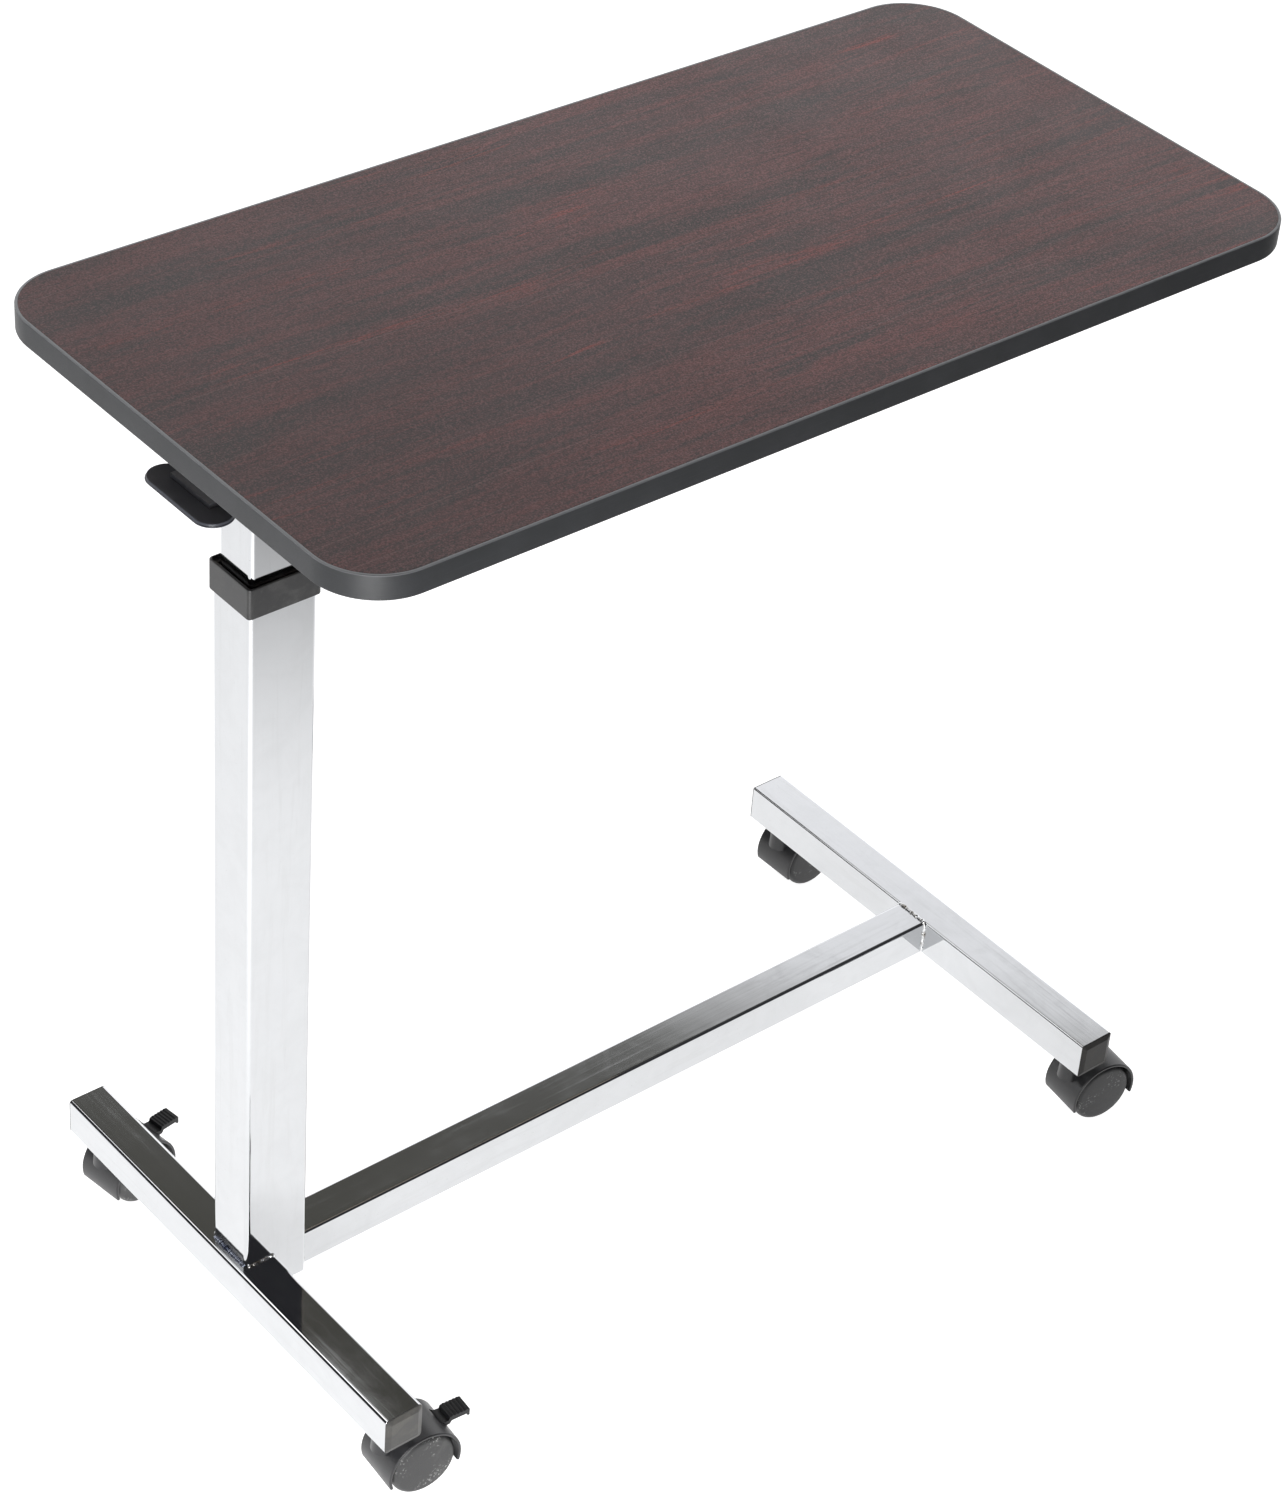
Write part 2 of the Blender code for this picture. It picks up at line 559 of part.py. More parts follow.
def make_lever(lever, pin):
    """The lever on its pivot, its paddle, and the valve pin that it presses."""
    inner_x = COLUMN_X - PIVOT_X + ARM_PAST_MIDDLE
    outer_x = PADDLE_X - PIVOT_X
    bend_top_x = -0.019           # the arm steps down between these two to meet the paddle
    bend_low_x = -0.026
    bend_shift = 0.001            # keeps the step as thick as the rest of the arm
    arm_z = ROD_TOP_Z + PIN_LENGTH - PIN_DEPTH + PIN_CLEARANCE - PIVOT_Z
    rest_z = PADDLE_TOP_Z + GAP - PIVOT_Z
    lower = [(inner_x, arm_z), (bend_top_x, arm_z), (bend_low_x, rest_z), (outer_x, rest_z)]
    high_z = arm_z + ARM_THICKNESS
    low_z = rest_z + ARM_THICKNESS
    upper = [(outer_x, low_z), (bend_low_x + bend_shift, low_z),
             (bend_top_x + bend_shift, high_z), (inner_x, high_z)]
    arm = extruded("release_lever_arm", lower + upper, ARM_WIDE, (0, 0, 0), STEEL, lever)
    trim = 0.5 * (ARM_WIDE - ARM_NARROW) + PAST
    trim_start = -0.024
    trim_length = 0.060
    for side, label in ((-1, "near"), (1, "far")):
        cut(arm, box("lever_trim_" + label, (trim_length, trim, 3 * PAST),
                     (trim_start + 0.5 * trim_length, side * 0.5 * (ARM_NARROW + trim), 0),
                     None, lever))
    unite(arm, cylinder("lever_hub", 2 * PIVOT_RADIUS, ARM_NARROW, (0, 0, 0), None, lever, 'Y',
                        20))
    cut(arm, cylinder("lever_bore", PIVOT_RADIUS + GAP, ARM_NARROW + PAST, (0, 0, 0), None,
                      lever, 'Y', 16))
    width, _, thickness = PADDLE_SIZE
    paddle = box("release_lever_paddle", PADDLE_SIZE,
                 (outer_x, 0, PADDLE_TOP_Z - 0.5 * thickness - PIVOT_Z),
                 BLACK_NYLON, lever, 2, 0.49 * width, 6)
    edges = paddle.modifiers.new("soft_edge", 'BEVEL')
    edges.width = PADDLE_EDGE
    edges.segments = 2
    edges.limit_method = 'ANGLE'
    edges.angle_limit = math.radians(50)
    cylinder("gas_spring_release_pin", PIN_RADIUS, PIN_LENGTH, (0, 0, 0), CHROME, pin,
             segments=12)


# ---------------------------------------------------------------- casters
AXLE_BELOW_FOOT = CASTER_HEIGHT - WHEEL_RADIUS
AXLE_FROM_FACE = 0.004
WHEEL_SIDE_GAP = 0.0005
PEDAL_PIVOT = (0.0205, 0.01785)        # from the axle
PEDAL_WIDTH = 0.0135
PEDAL_REACH = 0.0415
PEDAL_TOP = 0.0195                     # of its neck
PEDAL_STEP = 0.0028                    # rise of the ribbed pad above the neck
PEDAL_NECK = 0.0045                    # length of the neck from the pivot
PAD_THICKNESS = 0.0036
NECK_THICKNESS = 0.0032
PEDAL_SLOT = (0.0146, PEDAL_WIDTH + 0.0014, 0.0095)
PEDAL_SLOT_AT = (0.0247, 0.01725)      # middle of the hood's slot, from the axle
KNUCKLE_RADIUS = 0.0022
RIB_COUNT = 5
RIB_START = 0.0068                     # along the pedal from its pivot
RIB_PITCH = 0.0027
RIB_WIDTH = 0.0018
RIB_HEIGHT = 0.0006
LIP_DROP = 0.0056
LIP_THICKNESS = 0.0016


def make_caster(name, x, y, yaw, braked):
    """A twin wheel caster. Its origin is the swivel axis at the underside of the foot."""
    swivel = pivot("swivel_" + name, (x, y, FOOT_TOP_Z - TUBE), yaw)
    make_stem(name, swivel)
    hood = make_hood(name, swivel)
    axle_at = (WHEEL_OFFSET, 0, -AXLE_BELOW_FOOT)
    axle_length = CASTER_WIDTH - 2 * AXLE_FROM_FACE
    cylinder("caster_axle_" + name, AXLE_RADIUS, axle_length, axle_at, STEEL, swivel, 'Y', 16)
    for side, label in ((-1, "near"), (1, "far")):
        make_wheel("caster_wheel_%s_%s" % (name, label), axle_at, side, swivel)
    if braked:
        make_pedal(name, swivel, hood)


def make_stem(name, swivel):
    """The threaded stem: in the foot above its flange, in the hood's boss below it."""
    radius, thickness = STEM_FLANGE
    profile = [(0.0, STEM_TOP), (STEM_RADIUS, STEM_TOP), (STEM_RADIUS, -GAP), (radius, -GAP),
               (radius, -GAP - thickness), (STEM_RADIUS, -GAP - thickness),
               (STEM_RADIUS, -STEM_IN_HOOD), (0.0, -STEM_IN_HOOD)]
    turned("caster_stem_" + name, profile, (0, 0, 0), STEEL, swivel, segments=16)


def make_hood(name, swivel):
    """The hood: a half drum with a web between the wheels and a boss round the stem."""
    axle_at = (WHEEL_OFFSET, 0, -AXLE_BELOW_FOOT)
    hood = cylinder("caster_hood_" + name, HOOD_RADIUS, CASTER_WIDTH, axle_at, BLACK_NYLON,
                    swivel, 'Y', 40)
    below = 2 * HOOD_RADIUS       # all of the drum under the hood's edge
    cut(hood, box("hood_floor_" + name, (3 * HOOD_RADIUS, CASTER_WIDTH + 2 * PAST, below),
                  (WHEEL_OFFSET, 0, axle_at[2] - HOOD_BELOW_AXLE - 0.5 * below), None, swivel))
    boss_top = -GAP - STEM_FLANGE[1] - GAP
    boss = cylinder("hood_boss_" + name, BOSS_RADIUS, boss_top - BOSS_LOW,
                    (0, 0, 0.5 * (boss_top + BOSS_LOW)), None, swivel)
    unite(hood, boss)
    pocket = 0.5 * (CASTER_WIDTH - WEB) + 0.3 * PAST
    for side, label in ((-1, "near"), (1, "far")):
        at = (WHEEL_OFFSET, side * 0.5 * (WEB + pocket), axle_at[2])
        cut(hood, cylinder("hood_pocket_%s_%s" % (name, label), HOOD_RADIUS - HOOD_WALL, pocket,
                           at, None, swivel, 'Y', 32))
    cut(hood, cylinder("hood_axle_bore_" + name, AXLE_RADIUS + GAP, 2 * PAST, axle_at, None,
                       swivel, 'Y', 16))
    cut(hood, cylinder("hood_stem_bore_" + name, STEM_RADIUS + GAP, 2 * (STEM_IN_HOOD + GAP),
                       (0, 0, 0), None, swivel, segments=16))
    return hood


def make_wheel(name, axle_at, side, swivel):
    """One wheel: a slightly dished outer face and a blind bore on the axle."""
    outer = 0.5 * CASTER_WIDTH - GAP
    width = outer - 0.5 * WEB - WHEEL_SIDE_GAP
    bore = AXLE_RADIUS + GAP
    bore_end = AXLE_FROM_FACE - 2 * GAP
    tread = WHEEL_RADIUS
    dish = 0.0006                 # depth of the outer face inside its rim
    rim_width = 0.0025
    edge = 0.0035                 # the rim's outer edge is rounded from here to the tread
    shoulder = (0.001, 0.0008)    # a point of that rounding, in from the tread and the face
    tread_start = 0.003
    chamfer = 0.0015
    profile = [(0.0, 0.0), (tread - edge - rim_width, -dish), (tread - edge, 0.0),
               (tread - shoulder[0], -shoulder[1]), (tread, -tread_start),
               (tread, chamfer - width),
               (tread - chamfer, -width), (bore, -width), (bore, -bore_end), (0.0, -bore_end)]
    outward = math.radians(90 if side < 0 else -90)
    at = (axle_at[0], side * outer, axle_at[2])
    turned(name, profile, at, GREY_NYLON, swivel, (outward, 0, 0), segments=28)


def make_pedal(name, swivel, hood):
    """The brake pedal, and the slot that it comes out of."""
    across = WHEEL_OFFSET
    up = -AXLE_BELOW_FOOT
    cut(hood, box("hood_pedal_slot_" + name, PEDAL_SLOT,
                  (across + PEDAL_SLOT_AT[0], 0, up + PEDAL_SLOT_AT[1]), None, swivel))
    knuckle = arc((0.0, 0.0), KNUCKLE_RADIUS, 75, 285, 8)
    reach = PEDAL_REACH - PEDAL_PIVOT[0]
    neck_top = PEDAL_TOP - PEDAL_PIVOT[1]
    top = neck_top + PEDAL_STEP
    slope = 0.0008                # each step's run along the pedal
    step = [(PEDAL_NECK, neck_top), (PEDAL_NECK + slope, top)]
    ribs = []
    for number in range(RIB_COUNT):
        x = RIB_START + RIB_PITCH * number
        ribs += [(x, top), (x + 0.25 * RIB_WIDTH, top + RIB_HEIGHT),
                 (x + 0.75 * RIB_WIDTH, top + RIB_HEIGHT), (x + RIB_WIDTH, top)]
    lip = [(reach, top), (reach, top - LIP_DROP), (reach - LIP_THICKNESS, top - LIP_DROP),
           (reach - LIP_THICKNESS - slope, top - PAD_THICKNESS),
           (PEDAL_NECK + 3 * slope, top - PAD_THICKNESS),
           (PEDAL_NECK + slope, neck_top - NECK_THICKNESS)]
    outline = list(reversed(knuckle)) + step + ribs + lip
    pedal_pivot = pivot("pedal_axis_" + name, (across + PEDAL_PIVOT[0], 0, up + PEDAL_PIVOT[1]),
                        parent=swivel)
    extruded("brake_pedal_" + name, outline, PEDAL_WIDTH, (0, 0, 0), BLACK_NYLON, pedal_pivot)


# ---------------------------------------------------------------- assembly
make_base()
make_column()
make_collar()
make_gas_spring()

mast_axis = pivot("mast_axis", (COLUMN_X, 0, COLUMN_TOP_Z))
make_mast(mast_axis)
make_support(mast_axis)
make_top(mast_axis)

lever_axis = pivot("lever_axis", (PIVOT_X - COLUMN_X, 0, PIVOT_Z - COLUMN_TOP_Z),
                   parent=mast_axis)
pin_middle_z = ROD_TOP_Z - PIN_DEPTH + 0.5 * PIN_LENGTH
pin_axis = pivot("release_pin_axis", (0, 0, pin_middle_z - COLUMN_TOP_Z), parent=mast_axis)
make_lever(lever_axis, pin_axis)

RESTING_ANGLES = {"column_near": -5, "column_far": 8, "free_near": -8, "free_far": 1}
for foot_name, foot_x, has_brake in (("column", LEFT_FOOT_X, True), ("free", RIGHT_FOOT_X, False)):
    for side_name, side_y in (("near", -STEM_FROM_CENTRE), ("far", STEM_FROM_CENTRE)):
        caster_name = "%s_%s" % (foot_name, side_name)
        make_caster(caster_name, foot_x, side_y, math.radians(RESTING_ANGLES[caster_name]),
                    has_brake)
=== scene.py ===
import json
import math

import bmesh
import bpy
from mathutils import Matrix, Vector


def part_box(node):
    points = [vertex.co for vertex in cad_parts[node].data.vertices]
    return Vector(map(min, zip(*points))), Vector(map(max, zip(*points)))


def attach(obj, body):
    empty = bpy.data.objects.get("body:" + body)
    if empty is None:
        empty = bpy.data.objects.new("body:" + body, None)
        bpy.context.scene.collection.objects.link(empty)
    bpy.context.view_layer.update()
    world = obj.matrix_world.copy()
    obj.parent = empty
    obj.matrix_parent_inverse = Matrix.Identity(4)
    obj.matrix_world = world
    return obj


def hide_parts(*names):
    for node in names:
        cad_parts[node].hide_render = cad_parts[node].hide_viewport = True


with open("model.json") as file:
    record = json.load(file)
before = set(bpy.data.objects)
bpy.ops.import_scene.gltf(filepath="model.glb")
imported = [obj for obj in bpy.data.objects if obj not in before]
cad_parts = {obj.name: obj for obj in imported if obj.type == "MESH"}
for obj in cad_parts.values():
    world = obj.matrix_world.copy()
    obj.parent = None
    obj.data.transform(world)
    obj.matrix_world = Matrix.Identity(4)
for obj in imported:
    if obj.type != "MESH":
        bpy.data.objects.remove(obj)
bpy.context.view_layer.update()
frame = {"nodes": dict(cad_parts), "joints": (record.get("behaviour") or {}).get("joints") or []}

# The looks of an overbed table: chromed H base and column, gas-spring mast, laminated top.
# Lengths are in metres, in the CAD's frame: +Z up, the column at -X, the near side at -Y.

JOINTS = {joint["name"]: joint for joint in frame["joints"]}
SCENE = bpy.context.scene

CORNER_STEPS = 8                   # segments in a round corner
CUTTER_REACH = 0.01                # how far a cutter goes past what it cuts
PAINTED_EDGE_HIGHLIGHT = (0.7701, 0.7706)    # heights where the band's upper corner carries a painted highlight
BACKING = (0.7542, 0.7544)         # heights where the board's backing sheet ends


# ---------------------------------------------------------------- node helpers
class Wires:
    """Short calls to wire a node tree."""

    def __init__(self, tree, coords):
        self.tree = tree
        self.coords = tree.nodes.new("ShaderNodeTexCoord").outputs[coords]

    def put(self, socket, value):
        """A socket's value: a number, a colour, or another socket."""
        if isinstance(value, bpy.types.NodeSocket):
            self.tree.links.new(value, socket)
        elif isinstance(value, tuple) and len(value) == 3 and socket.type == 'RGBA':
            socket.default_value = (*value, 1.0)
        else:
            socket.default_value = value

    def stretch(self, scale, vector=None):
        """Coordinates scaled by three numbers."""
        node = self.tree.nodes.new("ShaderNodeVectorMath")
        node.operation = 'MULTIPLY'
        self.put(node.inputs[0], self.coords if vector is None else vector)
        node.inputs[1].default_value = scale
        return node.outputs["Vector"]

    def noise(self, scale, detail=3.0, roughness=0.5, distortion=0.0, vector=None):
        """Noise, 0 to 1; scale is one number or three, in features a metre."""
        node = self.tree.nodes.new("ShaderNodeTexNoise")
        if isinstance(scale, tuple):
            vector = self.stretch(scale, vector)
            scale = 1.0
        self.put(node.inputs["Vector"], self.coords if vector is None else vector)
        node.inputs["Scale"].default_value = scale
        node.inputs["Detail"].default_value = detail
        node.inputs["Roughness"].default_value = roughness
        node.inputs["Distortion"].default_value = distortion
        return node.outputs["Fac"]

    def cells(self, scale):
        """Voronoi cells, each of a random colour; scale is as for noise."""
        node = self.tree.nodes.new("ShaderNodeTexVoronoi")
        vector = self.coords
        if isinstance(scale, tuple):
            vector = self.stretch(scale)
            scale = 1.0
        self.put(node.inputs["Vector"], vector)
        node.inputs["Scale"].default_value = scale
        return node.outputs["Color"]

    def span(self, value, low, high, to_low=0.0, to_high=1.0, smooth=True):
        """A value from one range to another, clamped."""
        node = self.tree.nodes.new("ShaderNodeMapRange")
        node.interpolation_type = 'SMOOTHSTEP' if smooth else 'LINEAR'
        self.put(node.inputs["Value"], value)
        node.inputs["From Min"].default_value = low
        node.inputs["From Max"].default_value = high
        node.inputs["To Min"].default_value = to_low
        node.inputs["To Max"].default_value = to_high
        return node.outputs["Result"]

    def maths(self, operation, first, second=0.0):
        """One step of arithmetic."""
        node = self.tree.nodes.new("ShaderNodeMath")
        node.operation = operation
        self.put(node.inputs[0], first)
        self.put(node.inputs[1], second)
        return node.outputs[0]

    def blend(self, factor, first, second):
        """Two colours mixed by a factor."""
        node = self.tree.nodes.new("ShaderNodeMix")
        node.data_type = 'RGBA'
        self.put(node.inputs["Factor"], factor)
        self.put(node.inputs[6], first)
        self.put(node.inputs[7], second)
        return node.outputs[2]

    def axis(self, name):
        """One coordinate, X, Y or Z."""
        node = self.tree.nodes.new("ShaderNodeSeparateXYZ")
        self.put(node.inputs[0], self.coords)
        return node.outputs[name]

    def toward(self, way):
        """How far a point lies along a level direction."""
        return self.maths('ADD', self.maths('MULTIPLY', self.axis("X"), way[0]),
                          self.maths('MULTIPLY', self.axis("Y"), way[1]))

    def relief(self, height, strength, depth, below=None):
        """A bump of a height field; depth is its height in metres."""
        node = self.tree.nodes.new("ShaderNodeBump")
        node.inputs["Strength"].default_value = strength
        node.inputs["Distance"].default_value = depth
        self.put(node.inputs["Height"], height)
        if below is not None:
            self.put(node.inputs["Normal"], below)
        return node.outputs["Normal"]


class Paint(Wires):
    """A Principled material."""

    def __init__(self, name, roughness=0.5, metallic=0.0, specular=0.5, coat=0.0,
                 coat_roughness=0.1):
        self.material = bpy.data.materials.new(name)
        self.material.use_nodes = True
        super().__init__(self.material.node_tree, "Object")
        self.shader = self.tree.nodes["Principled BSDF"]
        self.shader.inputs["Roughness"].default_value = roughness
        self.shader.inputs["Metallic"].default_value = metallic
        self.shader.inputs["Specular IOR Level"].default_value = specular
        self.shader.inputs["Coat Weight"].default_value = coat
        self.shader.inputs["Coat Roughness"].default_value = coat_roughness

    def coated(self, colour, *coats):
        """A colour under (pattern, low, high, amount, tint) coats, each where its pattern is."""
        for pattern, low, high, amount, tint in coats:
            colour = self.blend(self.span(pattern, low, high, 0.0, amount), colour, tint)
        return colour

    def finish(self, colour, roughness=None, normal=None):
        """The material, once its colour and what else varies are wired."""
        self.put(self.shader.inputs["Base Color"], colour)
        if roughness is not None:
            self.put(self.shader.inputs["Roughness"], roughness)
        if normal is not None:
            self.put(self.shader.inputs["Normal"], normal)
        return self.material


# ---------------------------------------------------------------- materials
def make_chrome(name, along):
    """Bright chrome on drawn tube: faint draw lines, soft waviness, haze and a few specks."""
    paint = Paint(name, metallic=1.0)

    def drawn_out(across, lengthwise):
        """Noise scales that stretch a pattern along the tube."""
        return tuple(lengthwise if axis == along else across for axis in range(3))

    cloud = paint.noise(38.0, 4.0, 0.62, 0.6)
    drawn = paint.noise(drawn_out(420.0, 5.0), 3.0, 0.6)
    smear = paint.noise(drawn_out(130.0, 9.0), 4.0, 0.65, 0.8)
    specks = paint.span(paint.noise(900.0, 1.0), 0.76, 0.82)
    colour = paint.blend(paint.span(cloud, 0.35, 0.7), (0.585, 0.594, 0.606), (0.566, 0.575, 0.586))
    colour = paint.blend(paint.span(smear, 0.50, 0.75, 0.0, 0.5), colour, (0.540, 0.547, 0.555))
    colour = paint.blend(paint.maths('MULTIPLY', specks, 0.5), colour, (0.30, 0.29, 0.28))
    rough = paint.span(cloud, 0.40, 0.72, 0.050, 0.075)
    rough = paint.maths('ADD', rough, paint.span(smear, 0.48, 0.74, 0.0, 0.035))
    rough = paint.maths('ADD', rough, paint.span(drawn, 0.5, 0.8, 0.0, 0.05))
    wave = paint.relief(paint.noise(16.0, 2.0, 0.4), 0.04, 0.0008)
    wave = paint.relief(drawn, 0.05, 0.00008, wave)
    return paint.finish(colour, rough, wave)


def make_weld_chrome(name, bare, sooty):
    """Plated weld metal: rougher, with soot in its valleys."""
    paint = Paint(name, metallic=1.0)
    grain = paint.noise(700.0, 4.0, 0.6)
    soot = paint.span(paint.noise(160.0, 3.0), 0.45, 0.7)
    colour = paint.blend(soot, bare, sooty)
    rough = paint.span(grain, 0.3, 0.75, 0.12, 0.36)
    return paint.finish(colour, rough, paint.relief(grain, 0.35, 0.0003))


def make_zinc(name, dull, bright, metallic):
    """Zinc-plated steel: mottled, with a fine brushed grain."""
    paint = Paint(name, metallic=metallic)
    mottle = paint.noise(240.0, 4.0, 0.6)
    brush = paint.noise((60.0, 1800.0, 400.0), 2.0)
    colour = paint.blend(mottle, dull, bright)
    rough = paint.span(brush, 0.3, 0.7, 0.28, 0.46)
    return paint.finish(colour, rough, paint.relief(brush, 0.18, 0.0001))


def make_powder_coat():
    """Black powder coat with its orange peel."""
    paint = Paint("powder_coat", coat=0.25, coat_roughness=0.3)
    peel = paint.noise(850.0, 2.0, 0.5)
    dust = paint.span(paint.noise(30.0, 4.0, 0.6), 0.5, 0.8)
    colour = paint.blend(paint.maths('MULTIPLY', dust, 0.5), (0.016, 0.016, 0.018),
                         (0.05, 0.048, 0.045))
    rough = paint.span(peel, 0.3, 0.7, 0.38, 0.52)
    return paint.finish(colour, rough, paint.relief(peel, 0.30, 0.0003))


def make_woodgrain():
    """Dark mahogany laminate: streaks and pores along X under a fine matte speckle, with painted
    shade towards the column's end.
    """
    paint = Paint("woodgrain_laminate", specular=0.19)
    sway = 0.030                       # how far the grain wanders sideways
    bend = paint.maths('SUBTRACT', paint.noise((2.2, 5.0, 1.0), 2.0, 0.5), 0.5)
    shift = paint.tree.nodes.new("ShaderNodeCombineXYZ")
    paint.put(shift.inputs["Y"], paint.maths('MULTIPLY', bend, sway))
    moved = paint.tree.nodes.new("ShaderNodeVectorMath")
    paint.put(moved.inputs[0], paint.coords)
    paint.put(moved.inputs[1], shift.outputs["Vector"])
    grain = moved.outputs["Vector"]
    bands = paint.noise((1.6, 24.0, 1.0), 3.0, 0.55, 0.3, grain)
    streaks = paint.noise((5.0, 130.0, 1.0), 5.0, 0.66, 0.5, grain)
    fibres = paint.noise((20.0, 620.0, 1.0), 3.0, 0.6, 0.2, grain)
    smoke = paint.noise((4.2, 46.0, 1.0), 5.0, 0.60, 0.6, grain)
    flame = paint.noise((3.6, 70.0, 1.0), 5.0, 0.66, 1.2, grain)
    hair = paint.noise((1.2, 520.0, 1.0), 1.0, 0.5, 0.0, grain)
    speckle = paint.noise(950.0, 1.5, 0.6)
    colour = paint.coated(
        (0.060, 0.024, 0.023),
        (bands, 0.34, 0.66, 1.0, (0.120, 0.032, 0.030)),
        (streaks, 0.42, 0.64, 0.75, (0.180, 0.040, 0.035)),
        (flame, 0.585, 0.70, 0.9, (0.32, 0.038, 0.025)),
        (smoke, 0.50, 0.66, 0.85, (0.030, 0.021, 0.019)),
        (fibres, 0.52, 0.66, 0.75, (0.022, 0.012, 0.012)),
        (hair, 0.71, 0.76, 0.35, (0.28, 0.17, 0.15)),
        (speckle, 0.53, 0.64, 0.50, (0.30, 0.130, 0.120)),
        (speckle, 0.48, 0.38, 0.80, (0.012, 0.006, 0.006)),
        # painted shade: the laminate is darkened towards the column's end
        (paint.axis("X"), 0.10, -0.34, 0.30, (0.016, 0.009, 0.009)))     # darker near the column
    rough = paint.span(paint.noise(14.0, 4.0, 0.6), 0.3, 0.7, 0.28, 0.36)
    bumps = paint.relief(speckle, 0.45, 0.00022)
    bumps = paint.relief(fibres, 0.10, 0.00006, bumps)
    return paint.finish(colour, rough, bumps)


def make_chipboard():
    """Particle board, flakes of several tones, with a brown paper backing on its underside."""
    paint = Paint("particle_board", roughness=0.85, specular=0.2)
    flakes = paint.blend(paint.cells((330.0, 520.0, 700.0)), (0.33, 0.22, 0.13), (0.50, 0.36, 0.22))
    dust = paint.blend(paint.cells(1500.0), (0.20, 0.12, 0.07), (0.55, 0.42, 0.27))
    colour = paint.coated(paint.blend(0.35, flakes, dust),
                          (paint.noise(40.0, 3.0), 0.35, 0.7, 0.3, (0.26, 0.17, 0.10)))
    height = paint.noise(800.0, 3.0, 0.6)
    backing = paint.blend(paint.noise(90.0, 4.0, 0.6), (0.22, 0.19, 0.155), (0.31, 0.27, 0.22))
    colour = paint.blend(paint.span(paint.axis("Z"), *BACKING), backing, colour)
    return paint.finish(colour, 0.75, paint.relief(height, 0.5, 0.0004))


def make_plastic(name, colour, wear_and_painted_light, roughness, mottle=0.4, grain=1400.0, bump=0.25,
                 specular=0.5, scuffed=0.0):
    """Moulded plastic: fine spark-eroded grain, flow marks and light scuffs."""
    paint = Paint(name, specular=specular)
    fine = paint.noise(grain, 2.0, 0.6)
    flow = paint.noise(60.0, 4.0, 0.6, 0.6)
    scuffs = paint.noise(260.0, 3.0, 0.65)
    tint = paint.coated(colour,
                        (flow, 0.42, 0.72, mottle, wear_and_painted_light),
                        (scuffs, 0.60, 0.78, 0.5 * mottle, wear_and_painted_light),
                        (fine, 0.5, 0.3, 0.35, tuple(0.6 * part for part in colour)))
    if scuffed:
        patches = paint.span(paint.noise(55.0, 2.0), 0.46, 0.62)
        marks = paint.span(paint.noise(420.0, 3.0, 0.7), 0.55, 0.64, 0.0, scuffed)
        tint = paint.blend(paint.maths('MULTIPLY', patches, marks), tint, (0.36, 0.36, 0.35))
    rough = paint.span(flow, 0.3, 0.75, roughness - 0.05, roughness + 0.08)
    return paint.finish(tint, rough, paint.relief(fine, bump, 0.00012))


def make_edge_band():
    """PVC edging: a satin extrusion with faint lines along it and a painted highlight along its
    upper corner.
    """
    paint = Paint("edge_band_pvc", specular=0.4)
    lines = paint.noise((12.0, 12.0, 1500.0), 3.0, 0.6)
    flow = paint.noise(30.0, 4.0, 0.6)
    fine = paint.noise(1800.0, 2.0)
    colour = paint.coated(
        (0.027, 0.029, 0.032),
        (flow, 0.35, 0.7, 1.0, (0.036, 0.038, 0.042)),
        (lines, 0.55, 0.8, 0.4, (0.056, 0.059, 0.064)),
        # painted highlight: a pale line along the band's upper corner
        (paint.axis("Z"), *PAINTED_EDGE_HIGHLIGHT, 1.0, (0.26, 0.265, 0.275)))
    rough = paint.span(fine, 0.3, 0.7, 0.40, 0.52)
    bumps = paint.relief(fine, 0.15, 0.0001)
    return paint.finish(colour, rough, paint.relief(lines, 0.08, 0.0001, bumps))


CHROME_X = make_chrome("chrome_along_x", 0)
CHROME_Y = make_chrome("chrome_along_y", 1)
CHROME_Z = make_chrome("chrome_along_z", 2)
WELD = make_weld_chrome("weld_chrome", (0.70, 0.71, 0.72), (0.30, 0.28, 0.25))
BURNT_WELD = make_weld_chrome("weld_burnt", (0.26, 0.28, 0.34), (0.05, 0.06, 0.10))
ZINC = make_zinc("zinc_plate", (0.34, 0.35, 0.37), (0.58, 0.58, 0.57), 1.0)
DULL_ZINC = make_zinc("zinc_plate_dull", (0.20, 0.21, 0.24), (0.36, 0.37, 0.41), 0.5)
POWDER = make_powder_coat()
WOODGRAIN = make_woodgrain()
CHIPBOARD = make_chipboard()
EDGE_PVC = make_edge_band()
COLLAR_PLASTIC = make_plastic("collar_plastic", (0.024, 0.024, 0.025), (0.075, 0.075, 0.073), 0.38,
                              mottle=0.6)
CAP_PLASTIC = make_plastic("cap_plastic", (0.011, 0.0105, 0.010), (0.038, 0.035, 0.030), 0.40,
                           mottle=0.6, specular=0.2)
# a lighter copy of the cap plastic for the near cap on the column's foot: painted light
PAINTED_LIT_CAP = make_plastic("cap_plastic_worn", (0.040, 0.039, 0.037), (0.100, 0.092, 0.078), 0.34,
                        mottle=0.7)
HOOD_PLASTIC = make_plastic("hood_plastic", (0.014, 0.014, 0.015), (0.034, 0.034, 0.037), 0.36,
                            mottle=0.4)
# a lighter copy of the hood plastic for the braked hoods on the column's foot: painted light
PAINTED_LIT_HOOD = make_plastic("hood_plastic_painted_lit", (0.022, 0.022, 0.024), (0.052, 0.052, 0.056), 0.34,
                         mottle=0.5)
PEDAL_PLASTIC = make_plastic("pedal_plastic", (0.010, 0.010, 0.011), (0.028, 0.028, 0.029), 0.42,
                             mottle=0.3, specular=0.3)
WHEEL_PLASTIC = make_plastic("wheel_plastic", (0.014, 0.014, 0.015), (0.045, 0.045, 0.046), 0.44,
                             mottle=0.5, bump=0.5, specular=0.4, scuffed=0.35)
